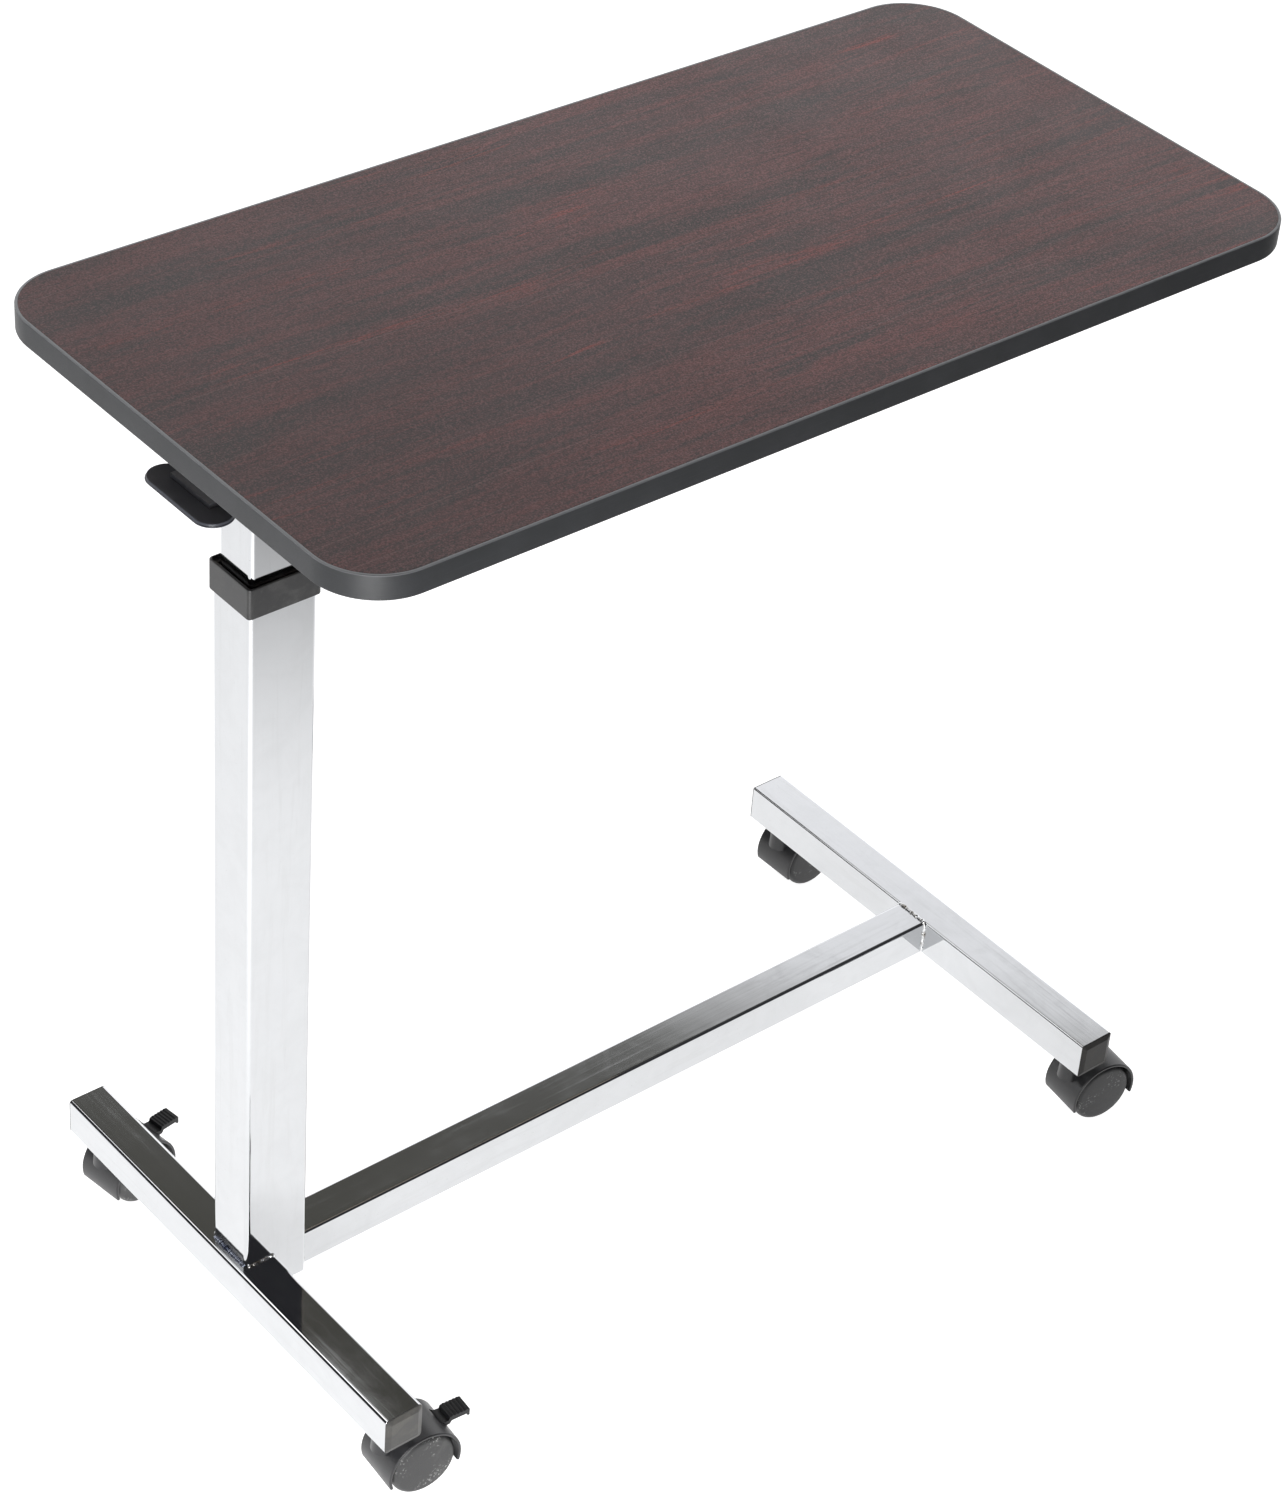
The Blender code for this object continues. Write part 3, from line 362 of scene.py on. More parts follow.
# a copy of the wheel plastic for the column's wheels: its heavier scuffs are wear, its lighter base
# is painted light
SCUFFED_PAINTED_LIT_WHEEL = make_plastic("wheel_plastic_worn", (0.046, 0.046, 0.047), (0.120, 0.120, 0.118), 0.44,
                          mottle=0.5, bump=0.5, specular=0.4, scuffed=1.0)
# a dark blue-grey plastic, lightened as painted light to stand in for the light that reaches the
# paddle under the top
PADDLE_PLASTIC = make_plastic("paddle_plastic", (0.074, 0.080, 0.100), (0.105, 0.112, 0.135), 0.36)
GLIDE_PLASTIC = make_plastic("glide_plastic", (0.62, 0.62, 0.60), (0.72, 0.72, 0.70), 0.45)


# ---------------------------------------------------------------- mesh helpers
def rounded(width, depth, radius, steps=CORNER_STEPS):
    """A rectangle with round corners as (u, v) points round its middle, counter-clockwise."""
    points = []
    for turn, (sign_u, sign_v) in enumerate(((1, 1), (-1, 1), (-1, -1), (1, -1))):
        centre = (sign_u * (0.5 * width - radius), sign_v * (0.5 * depth - radius))
        for step in range(steps + 1):
            angle = math.radians(90) * (turn + step / steps)
            points.append((centre[0] + radius * math.cos(angle),
                           centre[1] + radius * math.sin(angle)))
    return points


def inset(size, by, radius, steps=CORNER_STEPS):
    """A rounded outline that stands in from a size by the same distance all round."""
    return rounded(size[0] - 2 * by, size[1] - 2 * by, radius, steps)


def circle(radius, count):
    """A circle as (u, v) points, counter-clockwise."""
    angles = [2 * math.pi * i / count for i in range(count)]
    return [(radius * math.cos(angle), radius * math.sin(angle)) for angle in angles]


def along_x(centre):
    """Puts outline points (u, v) and a height on an axis that runs along X."""
    return lambda u, v, h: (h, centre.y + u, centre.z + v)


def along_y(centre):
    """Puts outline points (u, v) and a height on an axis that runs along Y."""
    return lambda u, v, h: (centre.x + u, h, centre.z + v)


def along_z(centre):
    """Puts outline points (u, v) and a height on an axis that runs along Z."""
    return lambda u, v, h: (centre.x + u, centre.y + v, h)


def middle(box):
    """The middle of a box given by its two corners."""
    return 0.5 * (box[0] + box[1])


def finished_mesh(name, shape):
    """A BMesh made into a mesh, its faces turned outward."""
    bmesh.ops.recalc_face_normals(shape, faces=shape.faces)
    mesh = bpy.data.meshes.new(name)
    shape.to_mesh(mesh)
    shape.free()
    return mesh


def loft(name, rings, closed=False):
    """A mesh through rings of as many points each; the ends are capped, or joined if closed."""
    shape = bmesh.new()
    rows = [[shape.verts.new(point) for point in ring] for ring in rings]
    pairs = list(zip(rows, rows[1:]))
    if closed:
        pairs.append((rows[-1], rows[0]))
    else:
        shape.faces.new(rows[0])
        shape.faces.new(rows[-1])
    for first, second in pairs:
        count = len(first)
        for i in range(count):
            following = (i + 1) % count
            shape.faces.new((first[i], first[following], second[following], second[i]))
    return finished_mesh(name, shape)


def layers(outlines, place):
    """Rings from (outline, height) pairs, put in the world by place(u, v, height)."""
    return [[place(u, v, height) for u, v in outline] for outline, height in outlines]


def turned(name, profile, place, count=64):
    """A turned solid from (radius, height) points, both ends on the axis."""
    shape = bmesh.new()
    rows = []
    for radius, height in profile:
        if radius == 0.0:
            rows.append([shape.verts.new(place(0.0, 0.0, height))])
        else:
            rows.append([shape.verts.new(place(u, v, height)) for u, v in circle(radius, count)])
    for first, second in zip(rows, rows[1:]):
        for i in range(count):
            following = (i + 1) % count
            corners = [first[i % len(first)], first[following % len(first)],
                       second[following % len(second)], second[i % len(second)]]
            shape.faces.new(list(dict.fromkeys(corners)))     # a triangle where a row is one point
    return finished_mesh(name, shape)


def block(name, low, high):
    """A cutter box between two corners."""
    shape = bmesh.new()
    bmesh.ops.create_cube(shape, size=1.0)
    low, high = Vector(low), Vector(high)
    for vert in shape.verts:
        vert.co = [low[i] + (vert.co[i] + 0.5) * (high[i] - low[i]) for i in range(3)]
    return finished_mesh(name, shape)


def hull(name, points):
    """A cutter with flat faces round some points."""
    shape = bmesh.new()
    corners = [shape.verts.new(point) for point in points]
    bmesh.ops.convex_hull(shape, input=corners)
    return finished_mesh(name, shape)


def peg(name, radius, start, end, place, count=32):
    """A round cutter between two heights."""
    return loft(name, layers([(circle(radius, count), start), (circle(radius, count), end)], place))


def combined(mesh, tools):
    """The mesh after Booleans with (operation, mesh) tools."""
    base = bpy.data.objects.new("work_base", mesh)
    SCENE.collection.objects.link(base)
    helpers = []
    for operation, tool in tools:
        helper = bpy.data.objects.new("work_tool", tool)
        SCENE.collection.objects.link(helper)
        helpers.append(helper)
        modifier = base.modifiers.new("tool", 'BOOLEAN')
        modifier.operation = operation
        modifier.solver = 'EXACT'
        modifier.object = helper
    bpy.context.view_layer.update()
    graph = bpy.context.evaluated_depsgraph_get()
    result = bpy.data.meshes.new_from_object(base.evaluated_get(graph))
    result.name = mesh.name
    for used in [base] + helpers:
        bpy.data.objects.remove(used)
    return result


def add_piece(name, mesh, material, body, replaces=(), sharp=32):
    """A visible piece on a body, in place of CAD nodes if it names any."""
    made = bpy.data.objects.new(name, mesh)
    SCENE.collection.objects.link(made)
    mesh.materials.clear()
    mesh.materials.append(material)
    mesh.shade_smooth()
    mesh.set_sharp_from_angle(angle=math.radians(sharp))
    even = made.modifiers.new("even_shading", 'WEIGHTED_NORMAL')
    even.keep_sharp = True
    even.weight = 100
    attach(made, body)
    if replaces:
        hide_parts(*replaces)
    return made


def refine_node(node, material, bevel=0.0):
    """A CAD node kept as it is, with its material and slightly softened edges."""
    kept = frame["nodes"][node]
    kept.data.materials.clear()
    kept.data.materials.append(material)
    kept.data.shade_smooth()
    kept.data.set_sharp_from_angle(angle=math.radians(32))
    if bevel:
        soft = kept.modifiers.new("soft_edge", 'BEVEL')
        soft.width = bevel
        soft.segments = 2
        soft.limit_method = 'ANGLE'
        soft.angle_limit = math.radians(40)
        soft.harden_normals = True
    return kept


# ---------------------------------------------------------------- tubes
WALL = 0.0015                      # of the steel tubes
TUBE_CORNER = {"column_side": 0.0028, "free_side": 0.0016, "crossbar": 0.0022}
COLUMN_CORNER = 0.0034             # of the column and the mast
INNER_CORNER = 0.0004              # the least radius inside a tube
CUT_EDGE = 0.0002                  # the small chamfer on a tube's cut ends
STEM_HOLE = 0.0043                 # radius of the hole that a caster's stem passes
PIN_HOLE = 0.0028                  # radius of the hole for the lever's pivot pin
LEVER_SLOT_HALF_WIDTH = 0.012
LEVER_SLOT_SILL = 0.726            # height of the slot's lower edge


def tube_mesh(name, size, radius, place, start, end):
    """An open-ended tube: closed rings along the outside from start to end and back inside."""
    eased = inset(size, CUT_EDGE, radius - CUT_EDGE)
    outer = inset(size, 0, radius)
    inner = inset(size, WALL, max(radius - WALL, INNER_CORNER))
    return loft(name, layers([(eased, start), (outer, start + CUT_EDGE), (outer, end - CUT_EDGE),
                              (eased, end), (inner, end), (inner, start)], place), closed=True)


def make_feet_and_crossbar():
    """The H of the base, with a hole for each caster's stem in the feet's lower walls."""
    for side in ("column_side", "free_side"):
        node = "foot_tube_" + side
        low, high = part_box(node)
        mesh = tube_mesh(node, (high.x - low.x, high.z - low.z), TUBE_CORNER[side],
                         along_y(middle((low, high))), low.y, high.y)
        holes = []
        for end in ("near", "far"):
            stem = middle(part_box("caster_stem_%s_%s" % (side.split("_")[0], end)))
            holes.append(('DIFFERENCE', peg("stem_hole", STEM_HOLE, low.z - CUTTER_REACH,
                                            low.z + CUTTER_REACH, along_z(stem))))
        add_piece(node + "_chrome", combined(mesh, holes), CHROME_Y, "base", [node])
    low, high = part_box("crossbar_tube")
    mesh = tube_mesh("crossbar", (high.y - low.y, high.z - low.z), TUBE_CORNER["crossbar"],
                     along_x(middle((low, high))), low.x, high.x)
    add_piece("crossbar_chrome", mesh, CHROME_X, "base", ["crossbar_tube"])


def make_column():
    """The column, notched over the foot tube."""
    low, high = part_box("column_tube")
    foot_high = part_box("foot_tube_column_side")[1]
    gap = 0.0003
    mesh = tube_mesh("column", (high.x - low.x, high.y - low.y), COLUMN_CORNER,
                     along_z(middle((low, high))), low.z, high.z)
    notch = block("notch", low - Vector((CUTTER_REACH, CUTTER_REACH, CUTTER_REACH)),
                  (foot_high.x + gap, high.y + CUTTER_REACH, foot_high.z + gap))
    add_piece("column_chrome", combined(mesh, [('DIFFERENCE', notch)]), CHROME_Z, "base",
              ["column_tube"])


def make_mast():
    """The mast with the slot that the release lever passes through and its pin hole."""
    low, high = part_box("mast_tube")
    pin = Vector(JOINTS["release_lever_hinge"]["pos_m"])
    mesh = tube_mesh("mast", (high.x - low.x, high.y - low.y), COLUMN_CORNER,
                     along_z(middle((low, high))), low.z, high.z)
    slot = block("slot", (low.x - CUTTER_REACH, -LEVER_SLOT_HALF_WIDTH, LEVER_SLOT_SILL),
                 (low.x + CUTTER_REACH, LEVER_SLOT_HALF_WIDTH, high.z + CUTTER_REACH))
    pin_hole = peg("pin_hole", PIN_HOLE, low.y - CUTTER_REACH, high.y + CUTTER_REACH,
                   along_y(pin), 24)
    add_piece("mast_chrome", combined(mesh, [('DIFFERENCE', slot), ('DIFFERENCE', pin_hole)]),
              CHROME_Z, "mast", ["mast_tube"])


# ---------------------------------------------------------------- welds
BEAD_PITCH = 0.0019                # from one ripple of a bead to the next
BEAD_STEP = 0.00035                # from one ring of a bead to the next
BEAD_SIDES = 14
OFF_AXIS = Vector((0.31, 0.52, 0.79))     # a way that no bead runs, to set a ring's sides by


def along_path(points, run, bend):
    """The point at a length along a polyline and the way it heads, eased over each bend."""
    leg = 0
    length = (points[1] - points[0]).length
    while leg < len(points) - 2 and run > length:
        run -= length
        leg += 1
        length = (points[leg + 1] - points[leg]).length
    start, end = points[leg], points[leg + 1]
    forward = (end - start).normalized()
    if leg and run < bend:
        forward = forward + (start - points[leg - 1]).normalized() * (1 - run / bend)
        forward.normalize()
    return start + (end - start) * (run / length), forward


def bead(name, path, radius, material, body, seed=0.0):
    """A weld bead along a polyline: overlapping ripples, tapered at both ends."""
    points = [Vector(point) for point in path]
    total = sum((after - before).length for before, after in zip(points, points[1:]))
    count = max(8, int(total / BEAD_STEP))
    rings = []
    for i in range(count + 1):
        run = total * i / count
        at, forward = along_path(points, run, 2 * radius)
        side = forward.cross(OFF_AXIS).normalized()
        up = side.cross(forward)
        phase = (run / BEAD_PITCH) % 1.0     # each ripple swells, and slow waves vary them
        ripple = 0.86 + 0.16 * phase + 0.07 * math.sin(run * 900 + seed) \
            + 0.06 * math.sin(run * 2300 + 2 * seed)
        taper = math.sqrt(max(0.0, 1 - max(0.0, 1 - min(run, total - run) / (1.5 * radius)) ** 2))
        size = radius * ripple * max(taper, 0.12)
        wander = side * (0.10 * radius * math.sin(run * 1300 + seed))
        rings.append([at + wander + size * (u * side + v * up)
                      for u, v in circle(1.0, BEAD_SIDES)])
    add_piece(name, loft(name, rings), material, body, sharp=80)


def make_welds():
    """Welds of the base: column to foot, column to crossbar and crossbar to the free foot."""
    column_low, column_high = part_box("column_tube")
    foot_low, foot_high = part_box("foot_tube_column_side")
    free_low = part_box("foot_tube_free_side")[0]
    bar_low, bar_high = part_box("crossbar_tube")
    top = foot_high.z
    sink = 0.0004
    bead("weld_column_back", [(column_low.x - sink, column_low.y + 0.002, top),
                              (column_low.x - sink, column_high.y - 0.002, top)],
         0.0016, BURNT_WELD, "base", 0.4)
    for label, y, seed in (("near", column_low.y, 1.1), ("far", column_high.y, 2.3)):
        bead("weld_column_side_" + label,
             [(column_low.x + 0.001, y, top), (foot_high.x - 0.001, y, top),
              (foot_high.x, y, top - 0.003), (foot_high.x, y, foot_low.z + 0.002)],
             0.0015, WELD, "base", seed)
    for label, x, seed in (("column", column_high.x, 3.2), ("free", free_low.x, 4.7)):
        bead("weld_crossbar_" + label,
             [(x, bar_low.y, bar_low.z + 0.001), (x, bar_low.y, bar_high.z - 0.002),
              (x, bar_low.y + 0.002, bar_high.z), (x, bar_high.y - 0.002, bar_high.z),
              (x, bar_high.y, bar_high.z - 0.002), (x, bar_high.y, bar_low.z + 0.001)],
             0.0017, WELD, "base", seed)


def make_painted_welds():
    """Welds under the top: mast to plate, and plate and cross tube to the rails."""
    mast_low, mast_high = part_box("mast_tube")
    plate_low, plate_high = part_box("mast_top_plate")
    cross_low, cross_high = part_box("support_cross_tube")
    for label, y in (("near", mast_low.y), ("far", mast_high.y)):
        bead("weld_mast_" + label, [(mast_low.x + 0.003, y, plate_low.z),
                                    (mast_high.x - 0.003, y, plate_low.z)],
             0.0016, POWDER, "mast", 5.0 + y)
    bead("weld_mast_front", [(mast_high.x, mast_low.y + 0.003, plate_low.z),
                             (mast_high.x, mast_high.y - 0.003, plate_low.z)],
         0.0016, POWDER, "mast", 6.1)
    for label, side in (("near", -1), ("far", 1)):
        edge = plate_high.y if side > 0 else plate_low.y
        bead("weld_plate_" + label, [(plate_low.x + 0.004, edge, plate_low.z),
                                     (plate_high.x - 0.004, edge, plate_low.z)],
             0.0016, POWDER, "mast", 7.0 + side)
        edge = cross_high.y if side > 0 else cross_low.y
        bead("weld_cross_" + label, [(cross_low.x + 0.002, edge, cross_low.z),
                                     (cross_high.x - 0.002, edge, cross_low.z)],
             0.0014, POWDER, "mast", 8.0 + side)


# ---------------------------------------------------------------- collar, caps
def make_collar():
    """The collar: a thin upper rim round a sunk well, and a skirt over the column."""
    low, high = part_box("column_collar")
    column_low, column_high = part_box("column_tube")
    mast_low, mast_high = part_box("mast_tube")
    size = (high.x - low.x, high.y - low.y)
    well = (column_high.x - column_low.x + 0.001, column_high.y - column_low.y + 0.001)
    opening = (mast_high.x - mast_low.x + 0.0012, mast_high.y - mast_low.y + 0.0012)
    socket = (column_high.x - column_low.x + 0.0006, column_high.y - column_low.y + 0.0006)
    corner = 0.0026
    lead_in = 0.0004
    well_floor = high.z - 0.0025
    ceiling = column_high.z + 0.0003
    rings = layers([
        (inset(size, 0.0005, corner - 0.0005), low.z),
        (inset(size, 0.00015, corner), low.z + 0.00015),
        (inset(size, 0, corner), low.z + 0.0006),
        (inset(size, 0, corner), high.z - 0.0010),
        (inset(size, 0.0003, corner), high.z - 0.0003),
        (inset(size, 0.0010, corner), high.z),
        (inset(well, -lead_in, 0.003), high.z),
        (inset(well, 0, 0.0026), high.z - lead_in),
        (inset(well, 0, 0.0026), well_floor),
        (inset(opening, -lead_in, 0.0022), well_floor),
        (inset(opening, 0, 0.002), well_floor - lead_in),
        (inset(opening, 0, 0.002), ceiling),
        (inset(socket, 0, 0.0024), ceiling),
        (inset(socket, 0, 0.0024), low.z)], along_z(middle((low, high))))
    add_piece("collar_moulding", loft("collar", rings, closed=True), COLLAR_PLASTIC, "base",
              ["column_collar"])


def make_end_caps():
    """Each cap: a flat panel inside wide chamfers, with the plug behind it in the tube."""
    for side in ("column_side", "free_side"):
        corner = TUBE_CORNER[side]
        tube_low, tube_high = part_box("foot_tube_" + side)
        for end, sign in (("near", -1), ("far", 1)):
            node = "end_cap_%s_%s" % (side, end)
            low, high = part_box(node)
            outer = high.y if sign > 0 else low.y
            inner = low.y if sign > 0 else high.y
            back = (tube_high.y if sign > 0 else tube_low.y) + sign * 0.0001
            size = (high.x - low.x, high.z - low.z)
            plug = (size[0] - 2 * WALL - 0.0006, size[1] - 2 * WALL - 0.0006)
            rings = layers([
                (inset(plug, 0.0008, 0.001), inner),
                (inset(plug, 0, 0.001), inner + sign * 0.002),
                (inset(plug, 0, 0.001), back),
                (inset(size, 0.0001, corner), back),
                (inset(size, 0, corner), back + sign * 0.0003),
                (inset(size, 0.0001, corner), outer - sign * 0.0015),
                (inset(size, 0.0004, corner), outer - sign * 0.0013),
                (inset(size, 0.0038, 0.0010), outer - sign * 0.0001),
                (inset(size, 0.0041, 0.0008), outer)], along_y(middle((low, high))))
            # painted light: this cap takes the lighter copy of the cap plastic
            wear_and_painted_light = (side, end) == ("column_side", "near")
            add_piece("cap_%s_%s" % (side, end), loft(node, rings),
                      PAINTED_LIT_CAP if wear_and_painted_light else CAP_PLASTIC, "base", [node], sharp=10)


# ---------------------------------------------------------------- tabletop
def make_top():
    """The edge band with its softened edges, and the laminate face set flush inside it."""
    low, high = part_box("tabletop_edge_band")
    size = (high.x - low.x, high.y - low.y)
    corner = 0.045
    steps = 28
    band = 0.002                       # the edge band's thickness
    gap = 0.00006                      # between the band and the laminate

    def line(by):
        return inset(size, by, corner - by, steps)

    place = along_z(middle((low, high)))
    rings = layers([
        (line(0.0007), low.z), (line(0.0002), low.z + 0.0002), (line(0), low.z + 0.0007),
        (line(0), high.z - 0.0009), (line(0.0003), high.z - 0.0003), (line(0.0009), high.z),
        (line(band), high.z - 0.00005), (line(band), low.z)], place)
    add_piece("edge_band_pvc", loft("edge_band", rings, closed=True), EDGE_PVC, "mast",
              ["tabletop_edge_band"])
    face_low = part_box("tabletop_laminate")[0]
    rings = layers([(line(band + gap), face_low.z), (line(band + gap), high.z - 0.0002),
                    (line(band + gap + 0.0001), high.z - 0.00006),
                    (line(band + gap + 0.0004), high.z)], place)
    add_piece("laminate_face", loft("laminate", rings), WOODGRAIN, "mast",
              ["tabletop_laminate"])


# ---------------------------------------------------------------- release paddle
def make_paddle():
    """The paddle: a round-ended moulding with a soft upper edge and a thin lower lip."""
    node = "release_lever_paddle"
    low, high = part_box(node)
    size = (high.x - low.x, high.y - low.y)
    radius = 0.5 * size[0] - 0.0003

    def line(by):
        return inset(size, by, radius - by, 16)

    rings = layers([
        (line(0.0010), low.z), (line(0.0003), low.z + 0.0002), (line(0), low.z + 0.0006),
        (line(0.0001), low.z + 0.0010), (line(0.0006), low.z + 0.0013),
        (line(0.0007), high.z - 0.0009), (line(0.0010), high.z - 0.0003),
        (line(0.0016), high.z)], along_z(middle((low, high))))
    add_piece("paddle_moulding", loft("paddle", rings), PADDLE_PLASTIC, "release_lever",
              [node])


# ---------------------------------------------------------------- casters
HOOD_RADIUS = 0.0282
HOOD_WALL = 0.0022
HOOD_BELOW_AXLE = 0.008            # how far the hood's rims come down past the axle
HOOD_STEPS = 72
WEB_STEPS = 48
CASTER_WIDTH = 0.038
WEB = 0.005                        # thickness of the hood's web between the wheels
AXLE_BORE = 0.0033
# room for the brake pedal in the hood: along the trail, across and up, from the axle
PEDAL_MOUTH = ((0.0174, 0.0320), (-0.00745, 0.00745), (0.0125, 0.0220))


def caster_place(name):
    """The caster's frame at its axle: the axle, the level way it trails, and the axle's way."""
    swivel = Vector(JOINTS["swivel_" + name]["pos_m"])
    spin = JOINTS["spin_%s_near" % name]
    axle = Vector(spin["pos_m"])
    trail = axle - swivel
    trail.z = 0.0
    return axle, trail.normalized(), Vector(spin["axis"]).normalized()


def hood_arc(radius, steps):
    """Points (along, up) over the hood, from its trailing rim to its leading one."""
    start = math.degrees(math.asin(-HOOD_BELOW_AXLE / HOOD_RADIUS))
    angles = [math.radians(start + (180 - 2 * start) * i / steps) for i in range(steps + 1)]
    return [(radius * math.cos(angle), radius * math.sin(angle)) for angle in angles]


def make_hood(name, braked):
    """The hood over both wheels, its web between them and the boss round the stem."""
    node = "caster_hood_" + name
    axle, trail, across = caster_place(name)
    swivel = Vector(JOINTS["swivel_" + name]["pos_m"])
    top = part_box(node)[1].z

    def at(u, w, h):
        """Along the trail, up and across, from the axle."""
        return axle + u * trail + h * across + w * Vector((0, 0, 1))

    middle_radius = HOOD_RADIUS - 0.5 * HOOD_WALL
    rings = []
    for along, up in hood_arc(1.0, HOOD_STEPS):
        rings.append([at((middle_radius + u) * along, (middle_radius + u) * up, v)
                      for u, v in rounded(HOOD_WALL, CASTER_WIDTH, 0.0009, 4)])
    web_arc = hood_arc(middle_radius, WEB_STEPS)
    web = loft("web", layers([(web_arc, -0.5 * WEB), (web_arc, 0.5 * WEB)], at))
    boss = loft("boss", layers([(circle(0.0086, 48), axle.z + 0.0145),
                                (circle(0.0078, 48), top - 0.0060),
                                (circle(0.0078, 48), top - 0.0006),
                                (circle(0.0073, 48), top)], along_z(swivel)))
    wheel_rooms = [('DIFFERENCE', peg("wheel_room", HOOD_RADIUS - HOOD_WALL, side * 0.5 * WEB,
                                      side * 0.5 * (CASTER_WIDTH + CUTTER_REACH), at, 96))
                   for side in (-1, 1)]
    tools = [('UNION', web), ('UNION', combined(boss, wheel_rooms)),
             ('DIFFERENCE', peg("stem_hole", STEM_HOLE, axle.z + 0.0135, top + CUTTER_REACH,
                                along_z(swivel))),
             ('DIFFERENCE', peg("bore", AXLE_BORE, -CASTER_WIDTH, CASTER_WIDTH, at))]
    if braked:
        mouth = hull("mouth", [at(u, w, v) for u in PEDAL_MOUTH[0] for v in PEDAL_MOUTH[1]
                               for w in PEDAL_MOUTH[2]])
        tools.append(('DIFFERENCE', mouth))
    # painted light: the braked hoods take the lighter copy of the hood plastic
    add_piece("hood_" + name, combined(loft(node, rings), tools),
              PAINTED_LIT_HOOD if braked else HOOD_PLASTIC, "caster_" + name, [node])


def make_wheels(name):
    """Both wheels: a shallow dome inside a rolled edge, a crowned tread and a ribbed inside."""
    axle, trail, across = caster_place(name)
    radius = axle.z
    outer = 0.5 * CASTER_WIDTH - 0.0003
    inner = 0.5 * WEB + 0.0005
    # the column's wheels take the scuffed copy, whose lighter base colour is painted light
    plastic = SCUFFED_PAINTED_LIT_WHEEL if name.startswith("column") else WHEEL_PLASTIC
    for label, sign in (("near", -1), ("far", 1)):
        node = "caster_wheel_%s_%s" % (name, label)

        def place(u, v, h):
            return axle + u * trail + v * Vector((0, 0, 1)) + sign * h * across

        profile = [(0.0, outer), (0.0060, outer - 0.00002), (0.0120, outer - 0.00010),
                   (0.0170, outer - 0.00028), (0.0205, outer - 0.0005),
                   (radius - 0.0032, outer - 0.0007), (radius - 0.0022, outer - 0.0010),
                   (radius - 0.0012, outer - 0.0018), (radius - 0.0004, outer - 0.0030),
                   (radius, outer - 0.0046), (radius, inner + 0.0020),
                   (radius - 0.0005, inner + 0.0007), (radius - 0.0014, inner),
                   (radius - 0.0035, inner), (radius - 0.0039, inner + 0.0030),
                   (0.0075, inner + 0.0030), (0.0070, inner), (AXLE_BORE, inner),
                   (AXLE_BORE, outer - 0.0034), (0.0, outer - 0.0034)]
        add_piece("wheel_%s_%s" % (name, label), turned(node, profile, place, 96), plastic,
                  "wheel_%s_%s" % (name, label), [node], sharp=50)


def make_casters():
    """Four casters; those on the column's foot have brakes."""
    for name in ("column_near", "column_far", "free_near", "free_far"):
        braked = name.startswith("column")
        make_hood(name, braked)
        make_wheels(name)
        refine_node("caster_stem_" + name, ZINC)
        refine_node("caster_axle_" + name, ZINC)
        if braked:
            refine_node("brake_pedal_" + name, PEDAL_PLASTIC, 0.00018)


# ---------------------------------------------------------------- nodes kept from the CAD
def finish_kept_nodes():
    """Materials for what is kept as the CAD made it."""
    for node in ("gas_spring_anchor_plate", "gas_spring_anchor_nut", "gas_spring_piston",
                 "mast_head_block", "lever_pivot_pin"):
        refine_node(node, ZINC, 0.0002)
    refine_node("release_lever_arm", DULL_ZINC, 0.0004)
    for node in ("gas_spring_rod", "gas_spring_release_pin"):
        refine_node(node, CHROME_Z)
    refine_node("gas_spring_cylinder", POWDER)
    refine_node("gas_spring_rod_guide", COLLAR_PLASTIC)
    refine_node("column_glide_bush", GLIDE_PLASTIC)
    refine_node("mast_foot_glide", GLIDE_PLASTIC)
    refine_node("tabletop_core", CHIPBOARD)
    refine_node("mast_top_plate", POWDER, 0.0004)
    for node in ("support_rail_near", "support_rail_far", "support_cross_tube"):
        refine_node(node, POWDER)
    for side in ("near", "far"):
        for number in (1, 2, 3):
            refine_node("top_screw_%s_%d" % (side, number), ZINC)


# ---------------------------------------------------------------- stage, light and camera
CAMERA_AT = (-1.4213, -1.5889, 2.0001)
CAMERA_TURN = (52.527, -4.616, -40.238)     # degrees about X, Y and Z
CAMERA_LENS = 93.47
CAMERA_SHIFT = (-0.065, 0.010)
GLOW_FALLS = (0.45, -0.89)         # the way the floor's glow falls off, to the front
GLOW_REACH = (0.42, 1.05)          # where along it the fall starts and ends
GLOW = (0.92, 0.05)                # the glow before and after the fall
BACKDROP = (0.62, 0.78)            # the way to the bright side of the studio
BACKDROP_EDGE = (0.30, 0.52)       # how far that way the bright side fades in
STUDIO_DARK = (0.020, 0.020, 0.022)
STUDIO_STRENGTH = 2.4
# the bright side's colour by elevation in degrees: dark tops of tubes come from the fall at 41
STUDIO_SKY = (
    (-90, 0.42, 0.42, 0.42), (-4, 0.42, 0.42, 0.42), (-2.2, 0.025, 0.025, 0.025),
    (2.0, 0.025, 0.025, 0.025), (5.0, 0.80, 0.80, 0.81), (28.0, 0.74, 0.74, 0.75),
    (36.5, 0.59, 0.59, 0.60), (38.5, 0.52, 0.52, 0.53), (40.2, 0.50, 0.50, 0.51),
    (40.6, 0.40, 0.40, 0.40), (41.1, 0.080, 0.080, 0.076), (42.5, 0.052, 0.051, 0.047),
    (44.5, 0.043, 0.042, 0.037), (46.5, 0.033, 0.032, 0.028), (90, 0.022, 0.022, 0.022))


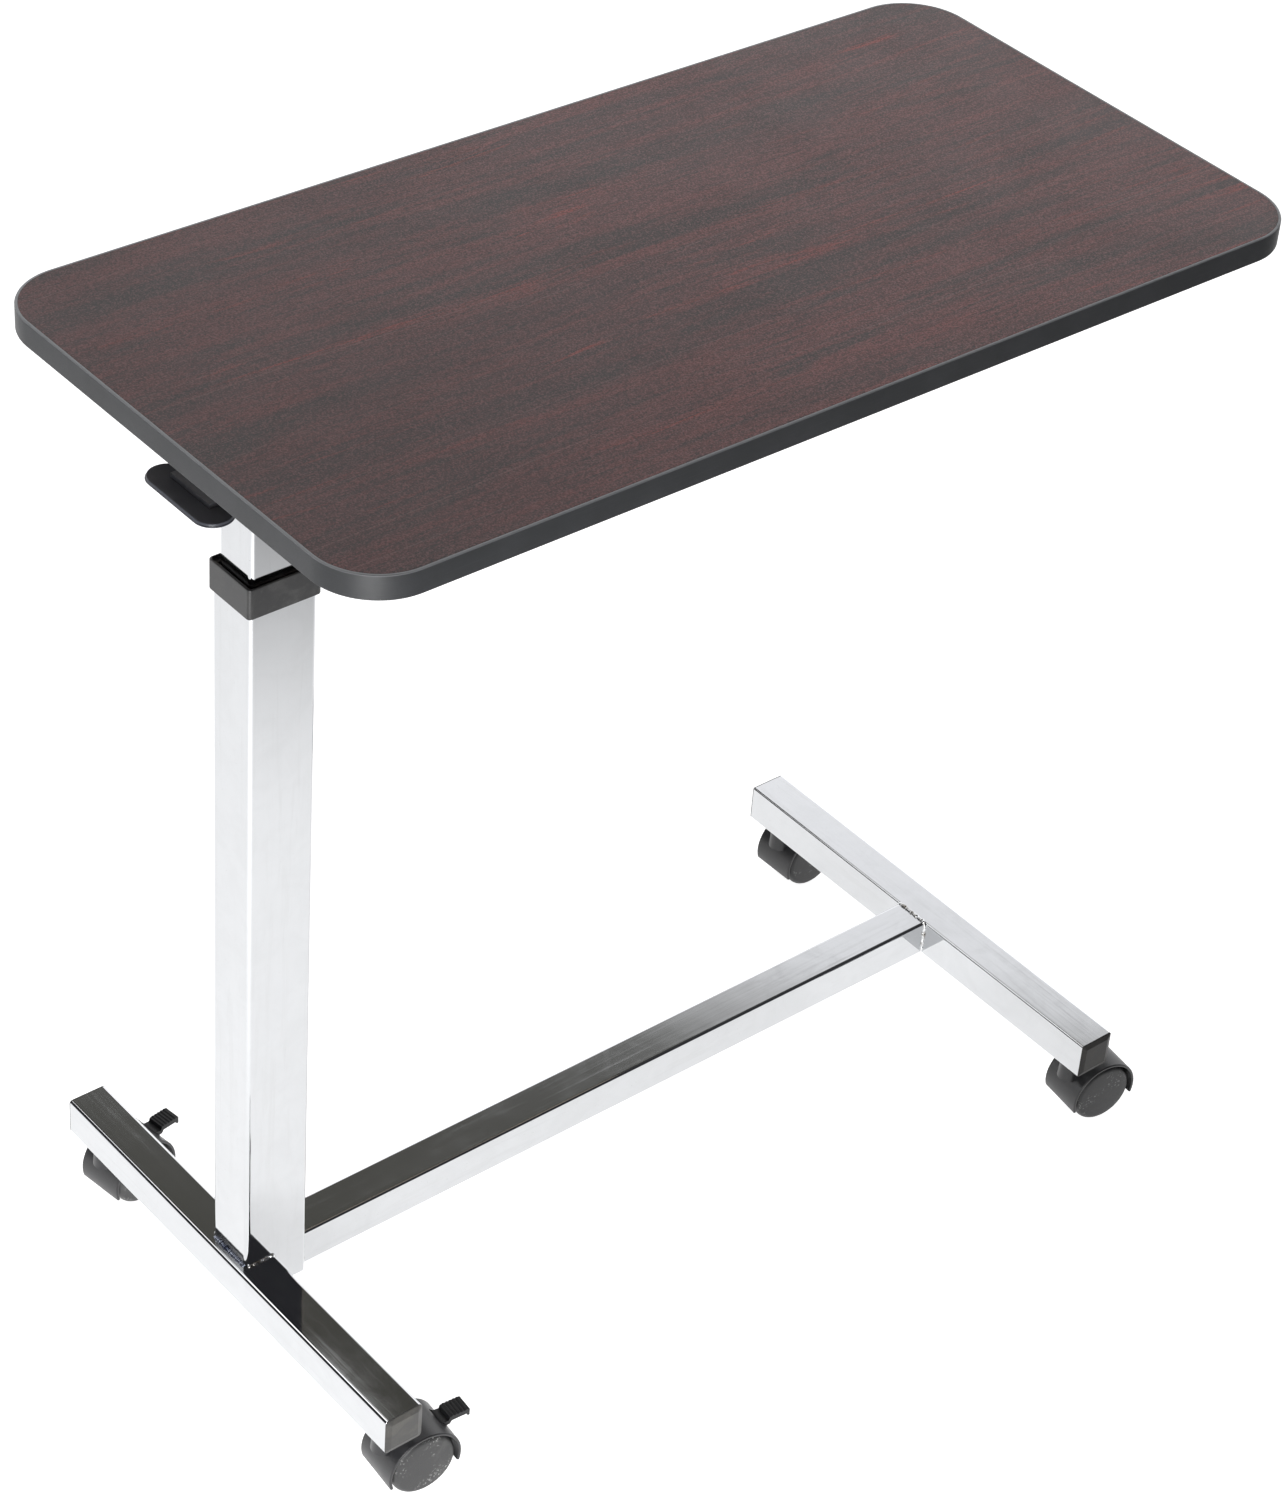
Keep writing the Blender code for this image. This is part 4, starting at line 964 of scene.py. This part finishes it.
def make_floor():
    """A pale table that glows a little, as a lit sweep does."""
    mesh = loft("floor", [[(u, v, h) for u, v in rounded(7.0, 7.0, 3.0, 16)]
                          for h in (-0.02, -0.0002)])
    floor = bpy.data.objects.new("floor", mesh)
    SCENE.collection.objects.link(floor)
    paint = Paint("pale_floor", roughness=0.9, specular=0.1)
    tone = paint.blend(paint.noise(1.5, 2.0), (0.78, 0.78, 0.78), (0.82, 0.82, 0.82))
    glow = paint.span(paint.toward(GLOW_FALLS), *GLOW_REACH, *GLOW)
    paint.put(paint.shader.inputs["Emission Color"], (1.0, 1.0, 1.0))
    paint.put(paint.shader.inputs["Emission Strength"], glow)
    mesh.materials.append(paint.finish(tone))


def make_world():
    """A studio by direction: a bright backdrop up to 40 degrees on one side, dark elsewhere."""
    world = bpy.data.worlds.new("studio")
    SCENE.world = world
    world.use_nodes = True
    tree = world.node_tree
    shader = tree.nodes["Background"]
    wires = Wires(tree, "Generated")
    height = wires.span(wires.maths('ARCSINE', wires.axis("Z")), math.radians(-90),
                        math.radians(90), smooth=False)
    ramp = tree.nodes.new("ShaderNodeValToRGB")
    elements = ramp.color_ramp.elements
    while len(elements) < len(STUDIO_SKY):
        elements.new(0.5)
    for element, (degrees, *colour) in zip(elements, STUDIO_SKY):
        element.position = (degrees + 90) / 180
        element.color = (*colour, 1.0)
    tree.links.new(height, ramp.inputs["Fac"])
    lit = wires.span(wires.toward(BACKDROP), *BACKDROP_EDGE)
    tree.links.new(wires.blend(lit, STUDIO_DARK, ramp.outputs["Color"]), shader.inputs["Color"])
    shader.inputs["Strength"].default_value = STUDIO_STRENGTH


def make_light(name, at, target, size, power):
    """A soft square light that faces a point."""
    lamp = bpy.data.lights.new(name, 'AREA')
    lamp.shape = 'SQUARE'
    lamp.size = size
    lamp.energy = power
    made = bpy.data.objects.new(name, lamp)
    made.location = at
    aim = Vector(target) - Vector(at)
    made.rotation_euler = aim.to_track_quat('-Z', 'Y').to_euler()
    SCENE.collection.objects.link(made)


def make_camera():
    """The camera: high, in front of the column's end, and not quite level."""
    lens = bpy.data.cameras.new("photo_angle")
    lens.lens = CAMERA_LENS
    lens.sensor_width = 36.0
    lens.shift_x, lens.shift_y = CAMERA_SHIFT
    lens.clip_start = 0.05
    camera = bpy.data.objects.new("photo_angle", lens)
    camera.location = CAMERA_AT
    camera.rotation_euler = [math.radians(angle) for angle in CAMERA_TURN]
    SCENE.collection.objects.link(camera)
    SCENE.camera = camera


make_camera()
make_floor()
make_world()
make_light("overhead_softbox", (0.0, 0.75, 2.8), (0.0, 0.0, 0.5), 2.0, 12.0)
make_light("back_left_softbox", (-0.80, 1.25, 2.0), (-0.1, 0.0, 0.2), 0.8, 3.5)
make_light("near_left_softbox", (-0.90, -0.80, 0.42), (-0.33, -0.15, 0.22), 0.5, 8.0)
SCENE.view_settings.view_transform = 'Standard'

make_feet_and_crossbar()
make_column()
make_mast()
make_welds()
make_painted_welds()
make_collar()
make_end_caps()
make_top()
make_paddle()
make_casters()
finish_kept_nodes()
